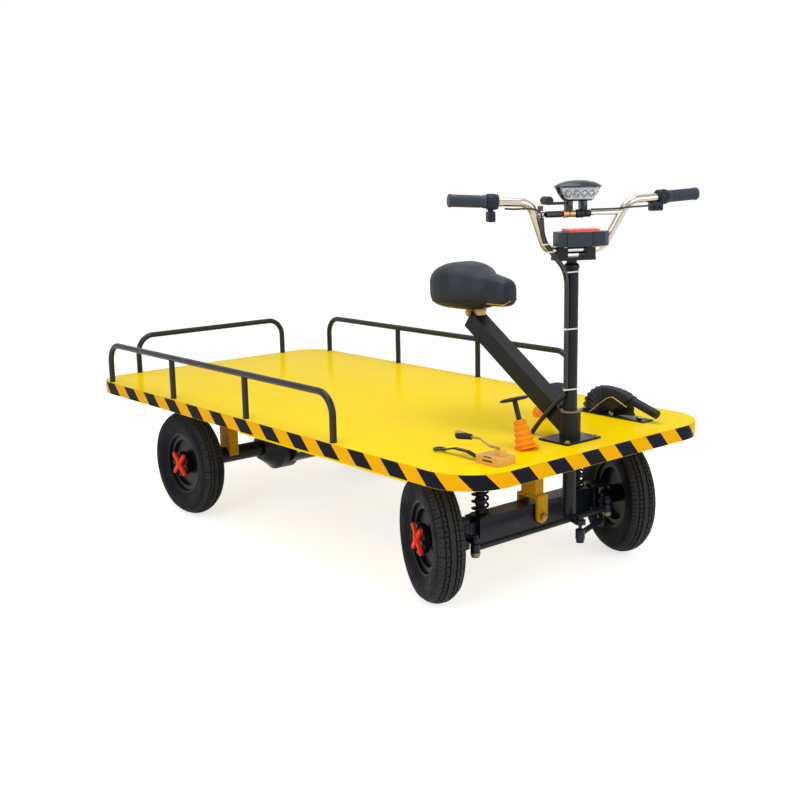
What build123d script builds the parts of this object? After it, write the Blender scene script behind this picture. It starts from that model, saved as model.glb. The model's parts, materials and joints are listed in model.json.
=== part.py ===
from build123d import *
import math
import os

# Electric platform cart, millimetres.
# X points forward, Y to the driver's left, Z up. The origin is on the floor under the middle of the deck.
# The cart is drawn with its steering turned to the right, as it was parked.

# Deck
deck_length = 1975.0
deck_width = 1000.0
deck_top = 422.5
deck_sheet = 4.0
skirt_depth = 42.0
skirt_sheet = 4.0
front_corner = 145.0
rear_corner = 115.0

# Frame under the deck, and the flat bars along the skirt's lower edge
rail_width = 50.0
rail_depth = 56.0
rail_spacing = 470.0
frame_end_gap = 60.0
end_cross_width = 36.0
edge_bar_sheet = 5.0
edge_bar_height = 24.0
edge_bar_drop = 7.0
edge_bar_length = 780.0
edge_bar_setback = 235.0

# Battery box between the frame's rails
battery_length = 440.0
battery_depth = 130.0
battery_x = 110.0

# Guard rails of bent tube
guard_tube = 20.0
guard_post_tube = 19.0
guard_height = 146.0
guard_bend = 62.0
guard_inset = 13.0
guard_rear_setback = 115.0
guard_front_setback = 548.0
guard_bays = 3
rear_guard_inset = 11.0
rear_guard_width = 646.0

# Wheels: tyre, stepped rim and four-armed hub
tyre_radius = 178.0
tyre_width = 83.0
tread_width = 70.0
crown_height = 14.0
crown_width = 32.0
bead_radius = 101.0
rim_flange_radius = 108.0
rim_width = 58.0
rim_well_radius = 84.0
rim_well_width = 26.0
rim_sheet = 4.0
rim_disc_offset = 6.0
seat_gap = 0.3
hub_radius = 27.0
hub_arm_width = 20.0
hub_arm_reach = 52.0
hub_arm_depth = 14.0
hub_proud = 14.0
hub_cap_radius = 13.0
hub_cap_height = 4.0
front_hub_inner = 32.0
rear_hub_inner = 22.0
rear_stub_reach = 90.0
spindle_radius = 10.0
spindle_end_gap = 10.0
running_gap = 0.5

# Rear axle with its gear case and motor
rear_axle_setback = 483.0
rear_track = 801.0
axle_tube_radius = 28.0
axle_collar_radius = 34.0
axle_collar_width = 10.0
axle_socket_depth = 48.0
gear_case_radius = 85.0
gear_case_width = 92.0
gear_case_y = -30.0
gear_case_neck = 40.0
motor_radius = 74.0
motor_length = 118.0
motor_forward = 38.0
motor_rise = 14.0
motor_cap_radius = 62.0
motor_cap_length = 16.0
brake_plate_radius = 76.0
brake_plate_sheet = 5.0
brake_plate_gap = 62.0
axle_bracket_y = 240.0
axle_bracket_width = 36.0
axle_bracket_length = 62.0

# Front axle: beam, kingpins, centre pivot and springs
front_axle_setback = 270.0
kingpin_track = 536.0
kingpin_offset = 88.0
kingpin_radius = 8.0
beam_depth = 76.0
beam_width = 60.0
beam_z = 178.0
beam_end_gap = 40.0
barrel_radius = 22.0
barrel_height = 56.0
barrel_neck_width = 35.0
pivot_y = 10.0
pivot_tube_length = 56.0
pivot_tube_width = 34.0
pivot_plate = 8.0
pivot_plate_rise = 14.0
pivot_ear_width = 42.0
pivot_ear_gap = 3.0
pivot_bolt_radius = 8.0
pivot_nut_width = 24.0
pivot_nut_height = 9.0
spring_y = 198.0
spring_radius = 23.0
spring_wire = 5.0
spring_pitch = 14.5
spring_corners = 10
spring_seat_radius = 30.0
spring_seat_sheet = 3.0
spring_top_sheet = 6.0
bellows_radius = 12.0
bellows_rib = 3.5
bellows_height = 62.0
bellows_ribs = 5
damper_cap_radius = 13.5
damper_cap_height = 12.0
damper_rod_radius = 6.0

# Knuckles, tie rod and drag link
parked_turn = -22.5
fork_plate = 12.0
fork_gap = 1.5
fork_width = 48.0
fork_reach = 42.0
shoulder_radius = 20.0
shoulder_gap = 6.0
arm_low_z = 184.0
arm_thickness = 12.0
arm_width = 24.0
arm_root_x = 12.0
arm_root_y = 40.0
tie_arm = 100.0
tie_rod_z = 167.0
pitman_length = 70.0
pitman_width = 30.0
pitman_thickness = 12.0
drag_low_z = 125.0
drag_high_z = 173.0
link_radius = 8.0
ball_housing_radius = 13.0
ball_housing_half = 13.0
ball_cap_radius = 11.0
ball_cap_height = 10.0
ball_stud_radius = 5.0
ball_stud_depth = 3.0
ball_stud_clearance = 4.0
stud_spacer_radius = 8.0
stud_spacer_gap = 6.0
stud_nut_width = 18.0
stud_nut_height = 8.0

# Steering column and the plate that holds it
column_setback = 122.0
column_y = 0.0
column_radius = 19.0
sleeve_radius = 29.0
sleeve_height = 77.0
base_plate_length = 105.0
base_plate_width = 135.0
base_plate_sheet = 6.0
neck_radius = 14.0
column_top = 897.0
yoke_z = 911.5
shaft_bottom = 213.0

# Handlebar, in the steering's own frame: e forward, s to the left
bar_radius = 11.0
bar_end = (24.5, 352.0, 1075.5)
bar_bend = (45.0, 140.0, 1064.5)
bar_low = (14.0, 81.0, 939.5)
bar_outer_arc = 45.0
bar_inner_arc = 35.0
crossbar_radius = 6.5
crossbar_z = 1034.0
grip_radius = 17.0
grip_length = 95.0
grip_cap = 3.0
control_gap = 2.0
yoke_plate = 9.0
yoke_half = 54.0
yoke_rear = 14.0
yoke_front = 34.0
yoke_block_s = 40.0
yoke_block_width = 26.0
pod_plate_sheet = 3.0

# Headlamp, key lock and instrument pod, in the steering's own frame
head_s = -6.0
lamp_rear = 12.0
lamp_depth = 64.0
lamp_low = 1066.0
lamp_height = 54.0
lamp_width = 126.0
lamp_base_width = 88.0
lamp_foot_s = 30.0
lamp_foot_width = 18.0
lamp_foot_depth = 20.0
lens_height = 36.0
lens_sheet = 8.0
lens_margin = 4.0
lock_radius = 11.0
lock_length = 34.0
lock_s = 88.0
lock_z = 1069.0
lock_stem_depth = 7.0
pod_rear = 30.0
pod_depth = 68.0
pod_low = 952.0
pod_height = 37.0
pod_width = 142.0
pod_chamfer = 18.0
pod_flank = 16.0
panel_width = 88.0
panel_height = 8.0
panel_crown = 1.6

# Seat arm and saddle
arm_tube = 50.0
arm_low_rise = 42.0
arm_high_z = 723.0
arm_back = 375.0
post_back = 377.0
post_radius = 12.0
post_drop = 30.0
saddle_low = 760.0
saddle_rear_back = 110.0
clamp_length = 46.0
clamp_ahead = 12.0
clamp_width = 40.0
clamp_height = 16.0

# Foot pedals in rubber boots
pedal_radius = 7.0
pedal_pad_length = 52.0
pedal_pad_width = 88.0
pedal_pad_sheet = 7.0
pedal_pad_tilt = -28.0
boot_flange_radius = 34.0
boot_flange_sheet = 5.0
boot_low_radius = 25.0
boot_high_radius = 13.0
boot_share = 0.62
boot_ribs = 5
boot_rib = 3.5

# Shift box with its two levers, measured from the column and the right edge
shift_ahead = 4.0
shift_length = 78.0
shift_from_edge = 140.0
shift_width = 64.0
shift_height = 22.0
shift_clip_length = 22.0
shift_clip_width = 18.0
shift_rod_radius = 3.5
shift_knob_radii = (6.5, 10.5)
shift_knob_length = 50.0
shift_lever_run = (
    # ahead of the column, height above the deck
    (56.0, 41.0),
    (24.0, 41.0),
    (-11.0, 55.0),
    (-48.0, 53.0),
)
park_ring_radius = 17.0
park_hole_radius = 9.0
park_lever_width = 13.0
park_lever_sheet = 4.0
park_lever_back = 152.0
park_lever_hump = 12.0

# Hand brake on the left
brake_from_edge = 180.0
brake_plate_back = 239.0
brake_plate_length = 256.0
brake_plate_width = 48.0
brake_base_sheet = 4.0
brake_stud_radius = 8.0
brake_stud_height = 12.0
brake_stud_ahead = -16.0
gaiter_width = 42.0
gaiter_rib = 5.0
brake_grip_radius = 13.0
brake_grip_start = (-42.0, 55.0)
brake_grip_end = (49.0, 26.0)

# Cables down the column
bundle_radius = 6.5
bundle_angle = -54.0
bundle_low = 140.0
tail_gap = 0.5
tail_drop = 5.0
cable_radius = 2.5

wheel_z = tyre_radius
deck_front = deck_length / 2
side_edge = deck_width / 2
deck_under = deck_top - deck_sheet
skirt_low = deck_top - skirt_depth
frame_under = deck_under - rail_depth
rail_y = rail_spacing / 2
column_x = deck_front - column_setback
front_axle_x = deck_front - front_axle_setback
rear_axle_x = -deck_front + rear_axle_setback
kingpin_y = kingpin_track / 2
hub_top = rim_width / 2 + hub_proud
barrel_half = barrel_height / 2
beam_low = beam_z - beam_depth / 2
beam_high = beam_z + beam_depth / 2
post_x = column_x - post_back
lamp_high = lamp_low + lamp_height
pod_top = pod_low + pod_height

os.makedirs("parts", exist_ok=True)


def save(name, shape):
    """Write one node of the cart, measured from the middle of the whole cart."""
    export_step(Pos(-cart_middle, 0, 0) * shape, f"parts/{name}.step")


def solids(*pieces):
    """Like pieces of one node, kept as separate solids."""
    return Compound(children=[piece.solid() for piece in pieces])


def block(x0, x1, y0, y1, z0, z1):
    """A box between two corners."""
    return Pos((x0 + x1) / 2, (y0 + y1) / 2, (z0 + z1) / 2) * Box(abs(x1 - x0), abs(y1 - y0), abs(z1 - z0))


def upright(x, y, z0, z1, radius):
    """A round bar that stands on z0 and ends at z1."""
    return Pos(x, y, (z0 + z1) / 2) * Cylinder(radius, z1 - z0)


def crosswise(x, z, y0, y1, radius):
    """A round bar along Y."""
    return Pos(x, (y0 + y1) / 2, z) * Rot(90, 0, 0) * Cylinder(radius, abs(y1 - y0))


def lengthwise(x0, x1, y, z, radius):
    """A round bar along X."""
    return Pos((x0 + x1) / 2, y, z) * Rot(0, 90, 0) * Cylinder(radius, abs(x1 - x0))


def bar_between(start, end, radius):
    """A round bar from one point to another."""
    line = Edge.make_line(start, end)
    return sweep(Plane(origin=start, z_dir=line % 0) * Circle(radius), path=line)


def tube_path(points, radii, radius):
    """A round tube along straight runs joined by arcs."""
    path = FilletPolyline(*points, radius=radii)
    return sweep(Plane(origin=path @ 0, z_dir=path % 0) * Circle(radius), path=path)


def cord_radii(points):
    """As large an arc at each corner as its two runs allow."""
    radii = []
    for before, corner, after in zip(points, points[1:], points[2:]):
        first = Vector(corner) - Vector(before)
        second = Vector(after) - Vector(corner)
        half_turn = math.radians(first.get_angle(second)) / 2
        radii.append(0.45 * min(first.length, second.length) / math.tan(half_turn))
    print("cord radii", [round(radius, 1) for radius in radii])
    return radii


def turned_profile(points):
    """A closed outline of (radius, distance along Y) turned about the Y axis."""
    return revolve(make_face(Polyline(*points, close=True)), Axis.Y)


def stacked(points):
    """A closed outline of (radius, height) turned about the Z axis, closed along the axis."""
    outline = [(0, points[0][1]), *points, (0, points[-1][1])]
    return revolve(Plane.XZ * make_face(Polyline(*outline, close=True)), Axis.Z)


def ribbed(low, high, radii, rib, count):
    """Points of a bellows from low to high, its radius going from one value to the other."""
    step = (high - low) / count
    points = []
    for i in range(count):
        inner = radii[0] + (radii[1] - radii[0]) * i / count
        points += [(inner, low + i * step), (inner + rib, low + (i + 0.5) * step)]
    return [*points, (radii[1], high)]


def steered(shape):
    """Place a piece drawn in the steering's own frame at the column, turned as parked."""
    return Pos(column_x, column_y, 0) * Rot(0, 0, parked_turn) * shape


def turned(length):
    """X and Y of a point that far ahead of a pivot, turned as parked."""
    turn = math.radians(parked_turn)
    return length * math.cos(turn), length * math.sin(turn)


# Deck tray with its skirt
def deck_plan(inset):
    """Outline of the deck, its front corners rounder than its rear ones."""
    plan = Rectangle(deck_length - 2 * inset, deck_width - 2 * inset)
    plan = fillet(plan.vertices().sort_by(Axis.X)[2:], front_corner - inset)
    return fillet(plan.vertices().sort_by(Axis.X)[:2], rear_corner - inset)


def make_deck():
    outer = Pos(0, 0, skirt_low) * extrude(deck_plan(0), skirt_depth)
    inner = Pos(0, 0, skirt_low) * extrude(deck_plan(skirt_sheet), skirt_depth - deck_sheet)
    column_hole = upright(column_x, column_y, deck_under, deck_top, column_radius + running_gap)
    return outer - inner - column_hole


def make_edge_bar(side):
    """A flat bar inside the skirt that shows below its lower edge."""
    outer = side * (side_edge - skirt_sheet)
    front = deck_front - edge_bar_setback
    return block(front - edge_bar_length, front, outer - side * edge_bar_sheet, outer,
                 skirt_low - edge_bar_drop, skirt_low - edge_bar_drop + edge_bar_height)


# Ladder frame of box section
def make_frame():
    half = deck_front - frame_end_gap
    inner = rail_y - rail_width / 2
    rails = [block(-half, half, side * inner, side * (inner + rail_width), frame_under, deck_under)
             for side in (-1, 1)]
    frame = rails[0] + rails[1]
    end_middle = half - end_cross_width / 2
    crosses = ((-end_middle, end_cross_width), (rear_axle_x, rail_width), (front_axle_x, rail_width),
               (end_middle, end_cross_width))
    for x, width in crosses:
        frame += block(x - width / 2, x + width / 2, -inner, inner, frame_under, deck_under)
    return frame


def make_battery_box():
    inner = rail_y - rail_width / 2
    return block(battery_x - battery_length / 2, battery_x + battery_length / 2, -inner, inner,
                 deck_under - battery_depth, deck_under)


# Side guard rail with posts at even bays
def make_side_guard(side):
    y = side * (side_edge - guard_inset)
    top = deck_top + guard_height - guard_tube / 2
    rear = -deck_front + guard_rear_setback
    front = deck_front - guard_front_setback
    points = [(rear, y, deck_top), (rear, y, top), (front, y, top), (front, y, deck_top)]
    guard = tube_path(points, [guard_bend, guard_bend], guard_tube / 2)
    bay = (front - rear) / guard_bays
    for i in range(1, guard_bays):
        guard += upright(rear + i * bay, y, deck_top, top, guard_post_tube / 2)
    return guard


def make_rear_guard():
    x = -deck_front + rear_guard_inset
    top = deck_top + guard_height - guard_tube / 2
    half = rear_guard_width / 2
    points = [(x, -half, deck_top), (x, -half, top), (x, half, top), (x, half, deck_top)]
    return tube_path(points, [guard_bend, guard_bend], guard_tube / 2)


# Wheel pieces, drawn about the Y axis with the outer face towards +Y
def make_tyre():
    wall = tyre_width / 2
    bore = bead_radius + seat_gap
    bead = rim_width / 2 - rim_sheet - seat_gap
    shoulder = tyre_radius - crown_height
    half = [(bore, bead), ((bead_radius + shoulder) / 2, wall), (shoulder, tread_width / 2),
            (tyre_radius, crown_width / 2)]
    return turned_profile([*half, *[(radius, -y) for radius, y in reversed(half)]])


def make_rim():
    half = rim_width / 2
    well = rim_well_width / 2
    flange_foot = half - rim_sheet
    outer = [(rim_flange_radius, half), (bead_radius, flange_foot), (bead_radius, well), (rim_well_radius, well)]
    inner_bead = bead_radius - rim_sheet
    inner_well = rim_well_radius - rim_sheet
    inner = [(rim_flange_radius - rim_sheet, half), (inner_bead, flange_foot), (inner_bead, well + rim_sheet),
             (inner_well, well + rim_sheet)]
    back = rim_disc_offset - rim_sheet
    profile = [*outer, *[(radius, -y) for radius, y in reversed(outer)],
               *[(radius, -y) for radius, y in inner],
               (inner_well, back), (hub_radius, back), (hub_radius, rim_disc_offset),
               (inner_well, rim_disc_offset), *reversed(inner)]
    return turned_profile(profile)


def make_hub(inner_end, axle_end=None):
    """Barrel with a four-armed plate on its outer end; a driven hub has its own axle, a free one a bore."""
    plate_back = hub_top - hub_arm_depth
    hub = crosswise(0, 0, inner_end, hub_top, hub_radius)
    arms = Rot(0, 0, 45) * SlotOverall(2 * hub_arm_reach, hub_arm_width)
    arms += Rot(0, 0, -45) * SlotOverall(2 * hub_arm_reach, hub_arm_width)
    hub += extrude(Plane(origin=(0, plate_back, 0), x_dir=(1, 0, 0), z_dir=(0, 1, 0)) * arms, hub_arm_depth)
    hub += crosswise(0, 0, hub_top, hub_top + hub_cap_height, hub_cap_radius)
    if axle_end is None:
        return hub - crosswise(0, 0, inner_end, hub_top - spindle_end_gap, spindle_radius + running_gap)
    return hub + crosswise(0, 0, axle_end, inner_end, spindle_radius)


def wheel_place(x, y, side, turn=0.0):
    """Where a wheel stands; side is 1 on the left and -1 on the right."""
    return Pos(x, y, wheel_z) * Rot(0, 0, turn + (0 if side > 0 else 180))


def front_wheel_centre(side):
    """Centre of a front wheel, turned about its kingpin."""
    across, along = turned(side * kingpin_offset)
    return front_axle_x - along, side * kingpin_y + across


# Front beam with a barrel for the kingpin at each end
def make_beam():
    end = kingpin_y - beam_end_gap
    low, high = beam_z - barrel_half, beam_z + barrel_half
    beam = block(front_axle_x - beam_width / 2, front_axle_x + beam_width / 2, -end, end, beam_low, beam_high)
    for side in (-1, 1):
        y = side * kingpin_y
        beam += block(front_axle_x - barrel_neck_width / 2, front_axle_x + barrel_neck_width / 2,
                      side * end, y, low, high)
        beam += upright(front_axle_x, y, low, high, barrel_radius)
        beam += upright(front_axle_x, side * spring_y, beam_high, beam_high + spring_seat_sheet,
                        spring_seat_radius)
    for side in (-1, 1):
        beam -= upright(front_axle_x, side * kingpin_y, low, high, kingpin_radius + running_gap)
    return beam - lengthwise(front_axle_x - beam_width, front_axle_x + beam_width, pivot_y, beam_z,
                             pivot_bolt_radius)


def make_pivot_bracket():
    half = beam_width / 2 + pivot_ear_gap
    plate_z = beam_high + pivot_plate_rise
    y0, y1 = pivot_y - pivot_ear_width / 2, pivot_y + pivot_ear_width / 2
    bracket = block(front_axle_x - pivot_tube_length / 2, front_axle_x + pivot_tube_length / 2,
                    pivot_y - pivot_tube_width / 2, pivot_y + pivot_tube_width / 2, plate_z, frame_under)
    bracket += block(front_axle_x - half - pivot_plate, front_axle_x + half + pivot_plate, y0, y1,
                     plate_z, plate_z + pivot_plate)
    for side in (-1, 1):
        x0 = front_axle_x + side * half
        x1 = x0 + side * pivot_plate
        bracket += block(x0, x1, y0, y1, beam_z, plate_z)
        bracket += lengthwise(x0, x1, pivot_y, beam_z, pivot_ear_width / 2)
    return bracket - lengthwise(front_axle_x - beam_width, front_axle_x + beam_width, pivot_y, beam_z,
                                pivot_bolt_radius)


def make_pivot_bolt():
    half = beam_width / 2 + pivot_ear_gap + pivot_plate
    bolt = Cylinder(pivot_bolt_radius, 2 * half)
    nut = extrude(RegularPolygon(pivot_nut_width / 2, 6), pivot_nut_height)
    bolt += Pos(0, 0, half) * nut + Pos(0, 0, -half - pivot_nut_height) * nut
    return Pos(front_axle_x, pivot_y, beam_z) * Rot(0, 90, 0) * bolt


# Springs and the bellows inside them
spring_low = beam_high + spring_seat_sheet
spring_top = frame_under - spring_top_sheet


def make_spring(side):
    """A coil of short straight runs with a six-sided wire."""
    turns = (spring_top - spring_low - spring_wire) / spring_pitch
    count = int(turns * spring_corners)
    corners = []
    for i in range(count + 1):
        angle = 2 * math.pi * i / spring_corners
        z = spring_low + spring_wire / 2 + turns * spring_pitch * i / count
        corners.append((spring_radius * math.cos(angle), spring_radius * math.sin(angle), z))
    path = Polyline(*corners)
    wire = sweep(Plane(origin=path @ 0, z_dir=path % 0) * RegularPolygon(spring_wire / 2, 6), path=path,
                 transition=Transition.RIGHT)
    return Pos(front_axle_x, side * spring_y, 0) * wire


def make_bellows(side):
    top = spring_low + bellows_height
    body = ribbed(spring_low, top, (bellows_radius, bellows_radius), bellows_rib, bellows_ribs)
    cap = [(damper_cap_radius, top), (damper_cap_radius, top + damper_cap_height),
           (damper_rod_radius, top + damper_cap_height), (damper_rod_radius, spring_top),
           (spring_seat_radius, spring_top), (spring_seat_radius, frame_under)]
    return Pos(front_axle_x, side * spring_y, 0) * stacked([*body, *cap])


# Rear axle with its gear case and motor
def make_rear_axle():
    end = rear_track / 2 - brake_plate_gap
    half = gear_case_width / 2
    neck = gear_case_y - half - gear_case_neck
    lip = 14.0
    axle = crosswise(0, 0, -end, end, axle_tube_radius)
    axle += turned_profile([(0, neck), (axle_tube_radius + lip, neck), (gear_case_radius - lip, gear_case_y - half),
                            (gear_case_radius, gear_case_y - half + lip),
                            (gear_case_radius, gear_case_y + half - lip),
                            (gear_case_radius - lip, gear_case_y + half), (0, gear_case_y + half)])
    y0 = gear_case_y + half
    axle += crosswise(motor_forward, motor_rise, gear_case_y, y0 + motor_length, motor_radius)
    axle += crosswise(motor_forward, motor_rise, y0, y0 + motor_length + motor_cap_length, motor_cap_radius)
    for side in (-1, 1):
        axle += crosswise(0, 0, side * (end - 2 * axle_collar_width), side * (end - axle_collar_width),
                          axle_collar_radius)
        axle -= crosswise(0, 0, side * end, side * (end - axle_socket_depth), spindle_radius + running_gap)
    return Pos(rear_axle_x, 0, wheel_z) * axle


def make_brake_plate(side):
    start = rear_track / 2 - brake_plate_gap
    plate = crosswise(0, 0, side * start, side * (start + brake_plate_sheet), brake_plate_radius)
    plate -= crosswise(0, 0, side * start, side * (start + brake_plate_sheet), spindle_radius + running_gap)
    return Pos(rear_axle_x, 0, wheel_z) * plate


def make_axle_bracket(side):
    y = side * axle_bracket_y
    bracket = block(rear_axle_x - axle_bracket_length / 2, rear_axle_x + axle_bracket_length / 2,
                    y - axle_bracket_width / 2, y + axle_bracket_width / 2, wheel_z, frame_under)
    return bracket - crosswise(rear_axle_x, wheel_z, y - axle_bracket_width, y + axle_bracket_width,
                               axle_tube_radius)


# Column base and seat
base_top = deck_top + base_plate_sheet
sleeve_top = base_top + sleeve_height


def make_column_base():
    base = Pos(column_x, column_y, deck_top) * extrude(Rectangle(base_plate_length, base_plate_width),
                                                       base_plate_sheet)
    base += upright(column_x, column_y, deck_top, sleeve_top, sleeve_radius)
    return base - upright(column_x, column_y, deck_top, sleeve_top, column_radius + running_gap)


def make_seat_arm():
    low = Vector(column_x, column_y, deck_top + arm_low_rise)
    high = Vector(column_x - arm_back, column_y, arm_high_z)
    run = high - low
    place = Plane(origin=low, z_dir=run.normalized(), x_dir=(0, 1, 0))
    arm = extrude(place * Rectangle(arm_tube, arm_tube), run.length)
    arm -= upright(column_x, column_y, 0, arm_high_z, sleeve_radius)
    arm -= block(column_x, column_x + arm_back, column_y - arm_tube, column_y + arm_tube, 0, arm_high_z)
    arm -= block(column_x - arm_back, column_x + arm_back, column_y - arm_tube, column_y + arm_tube, 0, base_top)
    return arm + upright(post_x, column_y, arm_high_z - post_drop, saddle_low - clamp_height / 4, post_radius)


def make_seat_clamp():
    top = saddle_low - seat_gap
    middle = post_x + clamp_ahead
    clamp = block(middle - clamp_length / 2, middle + clamp_length / 2, column_y - clamp_width / 2,
                  column_y + clamp_width / 2, saddle_low - clamp_height, top)
    return clamp - upright(post_x, column_y, saddle_low - clamp_height, saddle_low - clamp_height / 4, post_radius)


saddle_sections = (
    # from the rear, width, underside, top, corner radius
    (0.0, 120.0, 18.0, 96.0, 28.0),
    (20.0, 172.0, -2.0, 118.0, 42.0),
    (70.0, 200.0, -10.0, 128.0, 48.0),
    (134.0, 164.0, -10.0, 119.0, 46.0),
    (194.0, 90.0, 13.0, 90.0, 32.0),
    (244.0, 72.0, 13.0, 80.0, 28.0),
    (268.0, 44.0, 24.0, 60.0, 14.0),
)


def make_saddle():
    rear = post_x - saddle_rear_back
    sections = []
    for distance, width, under, top, corner in saddle_sections:
        place = Plane(origin=(rear + distance, column_y, saddle_low + (under + top) / 2),
                      x_dir=(0, 1, 0), z_dir=(1, 0, 0))
        sections.append(place * RectangleRounded(width, top - under, corner))
    length = saddle_sections[-1][0]
    return loft(sections) - block(rear - length, rear + 2 * length, column_y - length, column_y + length,
                                  saddle_low - length, saddle_low)


# Foot pedals
pedals = (
    # ahead of the column, left of the column, lean of the stem in degrees, height of the pad above the deck
    (-6.0, -165.0, -19.0, 128.0),
    (-260.0, 174.0, 33.0, 88.0),
)


def pedal_place(ahead, across, lean):
    return Pos(column_x + ahead, column_y + across, deck_top) * Rot(0, lean, 0)


def make_pedal(ahead, across, lean, height):
    length = height / math.cos(math.radians(lean))
    pedal = upright(0, 0, boot_flange_sheet, length, pedal_radius)
    pedal += Pos(0, 0, length) * Rot(0, pedal_pad_tilt, 0) * Box(pedal_pad_length, pedal_pad_width,
                                                                 pedal_pad_sheet)
    return pedal_place(ahead, across, lean) * pedal


def make_boot(ahead, across, lean, height):
    top = height * boot_share
    bellows = ribbed(boot_flange_sheet, top, (boot_low_radius, boot_high_radius), boot_rib, boot_ribs)
    boot = stacked([(boot_flange_radius, 0), (boot_flange_radius, boot_flange_sheet), *bellows])
    boot = pedal_place(ahead, across, lean) * boot - make_pedal(ahead, across, lean, height)
    reach = 2 * boot_flange_radius
    x, y = column_x + ahead, column_y + across
    return boot - block(x - reach, x + reach, y - reach, y + reach, deck_top - reach, deck_top)


# Shift box with its two levers
shift_rear = column_x + shift_ahead
shift_front = shift_rear + shift_length
shift_right = -side_edge + shift_from_edge
shift_middle = shift_right + shift_width / 2
shift_top = deck_top + shift_height
shift_clip_top = deck_top + shift_lever_run[0][1] - shift_rod_radius - seat_gap


def make_shift_box():
    box = block(shift_rear, shift_front, shift_right, shift_right + shift_width, deck_top, shift_top)
    x = shift_front - shift_clip_length
    half = shift_clip_width / 2
    return box + block(x - shift_clip_length / 2, x + shift_clip_length / 2, shift_middle - half,
                       shift_middle + half, shift_top, shift_clip_top)


def make_shift_lever():
    points = [(column_x + ahead, shift_middle, deck_top + rise) for ahead, rise in shift_lever_run]
    arc = 4 * shift_rod_radius
    knob_x, knob_y, knob_z = points[-1]
    lever = tube_path(points, [arc, arc], shift_rod_radius)
    return lever + Pos(knob_x - shift_knob_length / 2, knob_y, knob_z) * Rot(0, -90, 0) * Cone(
        *shift_knob_radii, shift_knob_length)


def make_park_lever():
    """A flat lever that humps over the deck and ends in a ring."""
    y = shift_right + park_ring_radius
    z = deck_top + park_lever_sheet
    ring_x = column_x - park_lever_back
    start = ring_x + park_ring_radius - park_lever_sheet
    run = shift_rear - start
    low = [(start, z), (start + run / 3, z + park_lever_hump), (start + 2 * run / 3, z + park_lever_hump),
           (shift_rear, z)]
    high = [(x, height + park_lever_sheet) for x, height in reversed(low)]
    strip = extrude(Plane.XZ * make_face(Polyline(*low, *high, close=True)), park_lever_width / 2, both=True)
    ring = upright(ring_x, y, z, z + park_lever_sheet, park_ring_radius)
    hole = upright(ring_x, y, z, z + park_lever_sheet, park_hole_radius)
    return Pos(0, y, 0) * strip + ring - hole


# Hand brake to the left of the column
brake_y = side_edge - brake_from_edge


def make_brake_base():
    rear = column_x - brake_plate_back
    half = brake_plate_width / 2
    base = block(rear, rear + brake_plate_length, brake_y - half, brake_y + half, deck_top,
                 deck_top + brake_base_sheet)
    return base + upright(column_x + brake_stud_ahead, brake_y, deck_top, deck_top + brake_stud_height,
                          brake_stud_radius)


gaiter_folds = (
    # back from the column, height above the deck
    (229.0, 27.0),
    (217.0, 45.0),
    (193.0, 56.0),
    (164.0, 68.0),
    (136.0, 79.0),
    (108.0, 88.0),
)
gaiter_cover = (
    # back from the column, height above the deck
    (70.0, 86.0),
    (33.0, 67.0),
    (50.0, 33.0),
    (26.0, 8.0),
)


def gaiter_outline():
    """Side outline of the hand brake's cover: pleats at the rear with valleys between, smooth in front."""
    def place(back, rise):
        return column_x - back, deck_top + rise

    outline = [place(gaiter_folds[0][0], brake_base_sheet)]
    for here, after in zip(gaiter_folds, gaiter_folds[1:]):
        middle_back = (here[0] + after[0]) / 2 - gaiter_rib / 2
        outline += [place(*here), place(middle_back, (here[1] + after[1]) / 2 - gaiter_rib)]
    outline += [place(*row) for row in (gaiter_folds[-1], *gaiter_cover)]
    return [*outline, place(gaiter_cover[-1][0], brake_base_sheet)]


def make_brake_gaiter():
    face = Plane.XZ * make_face(Polyline(*gaiter_outline(), close=True))
    gaiter = Pos(0, brake_y, 0) * extrude(face, gaiter_width / 2, both=True)
    return gaiter - make_brake_lever()


def make_brake_lever():
    (start_x, start_z), (end_x, end_z) = brake_grip_start, brake_grip_end
    return bar_between((column_x + start_x, brake_y, deck_top + start_z),
                       (column_x + end_x, brake_y, deck_top + end_z), brake_grip_radius)


# Steering parts, drawn about the column
def make_column():
    return upright(0, 0, shaft_bottom, column_top, column_radius) + upright(0, 0, column_top, yoke_z, neck_radius)


def stud_nut():
    return extrude(RegularPolygon(stud_nut_width / 2, 6), stud_nut_height)


def make_pitman():
    low = shaft_bottom - pitman_thickness
    arm = Pos(pitman_length / 2, 0, low) * extrude(SlotCenterToCenter(pitman_length, pitman_width),
                                                   pitman_thickness)
    arm += upright(pitman_length, 0, drag_high_z - ball_stud_depth, low, ball_stud_radius)
    return arm + Pos(pitman_length, 0, shaft_bottom) * stud_nut()


def bar_point(side, point):
    e, s, z = point
    return e, side * s, z


def make_handlebar():
    points = [bar_point(-1, bar_end), bar_point(-1, bar_bend), bar_point(-1, bar_low),
              bar_point(1, bar_low), bar_point(1, bar_bend), bar_point(1, bar_end)]
    bar = tube_path(points, [bar_outer_arc, bar_inner_arc, bar_inner_arc, bar_outer_arc], bar_radius)
    rise = (crossbar_z - bar_low[2]) / (bar_bend[2] - bar_low[2])
    e = bar_low[0] + rise * (bar_bend[0] - bar_low[0])
    s = bar_low[1] + rise * (bar_bend[1] - bar_low[1])
    return bar + crosswise(e, crossbar_z, -s, s, crossbar_radius)


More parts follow.
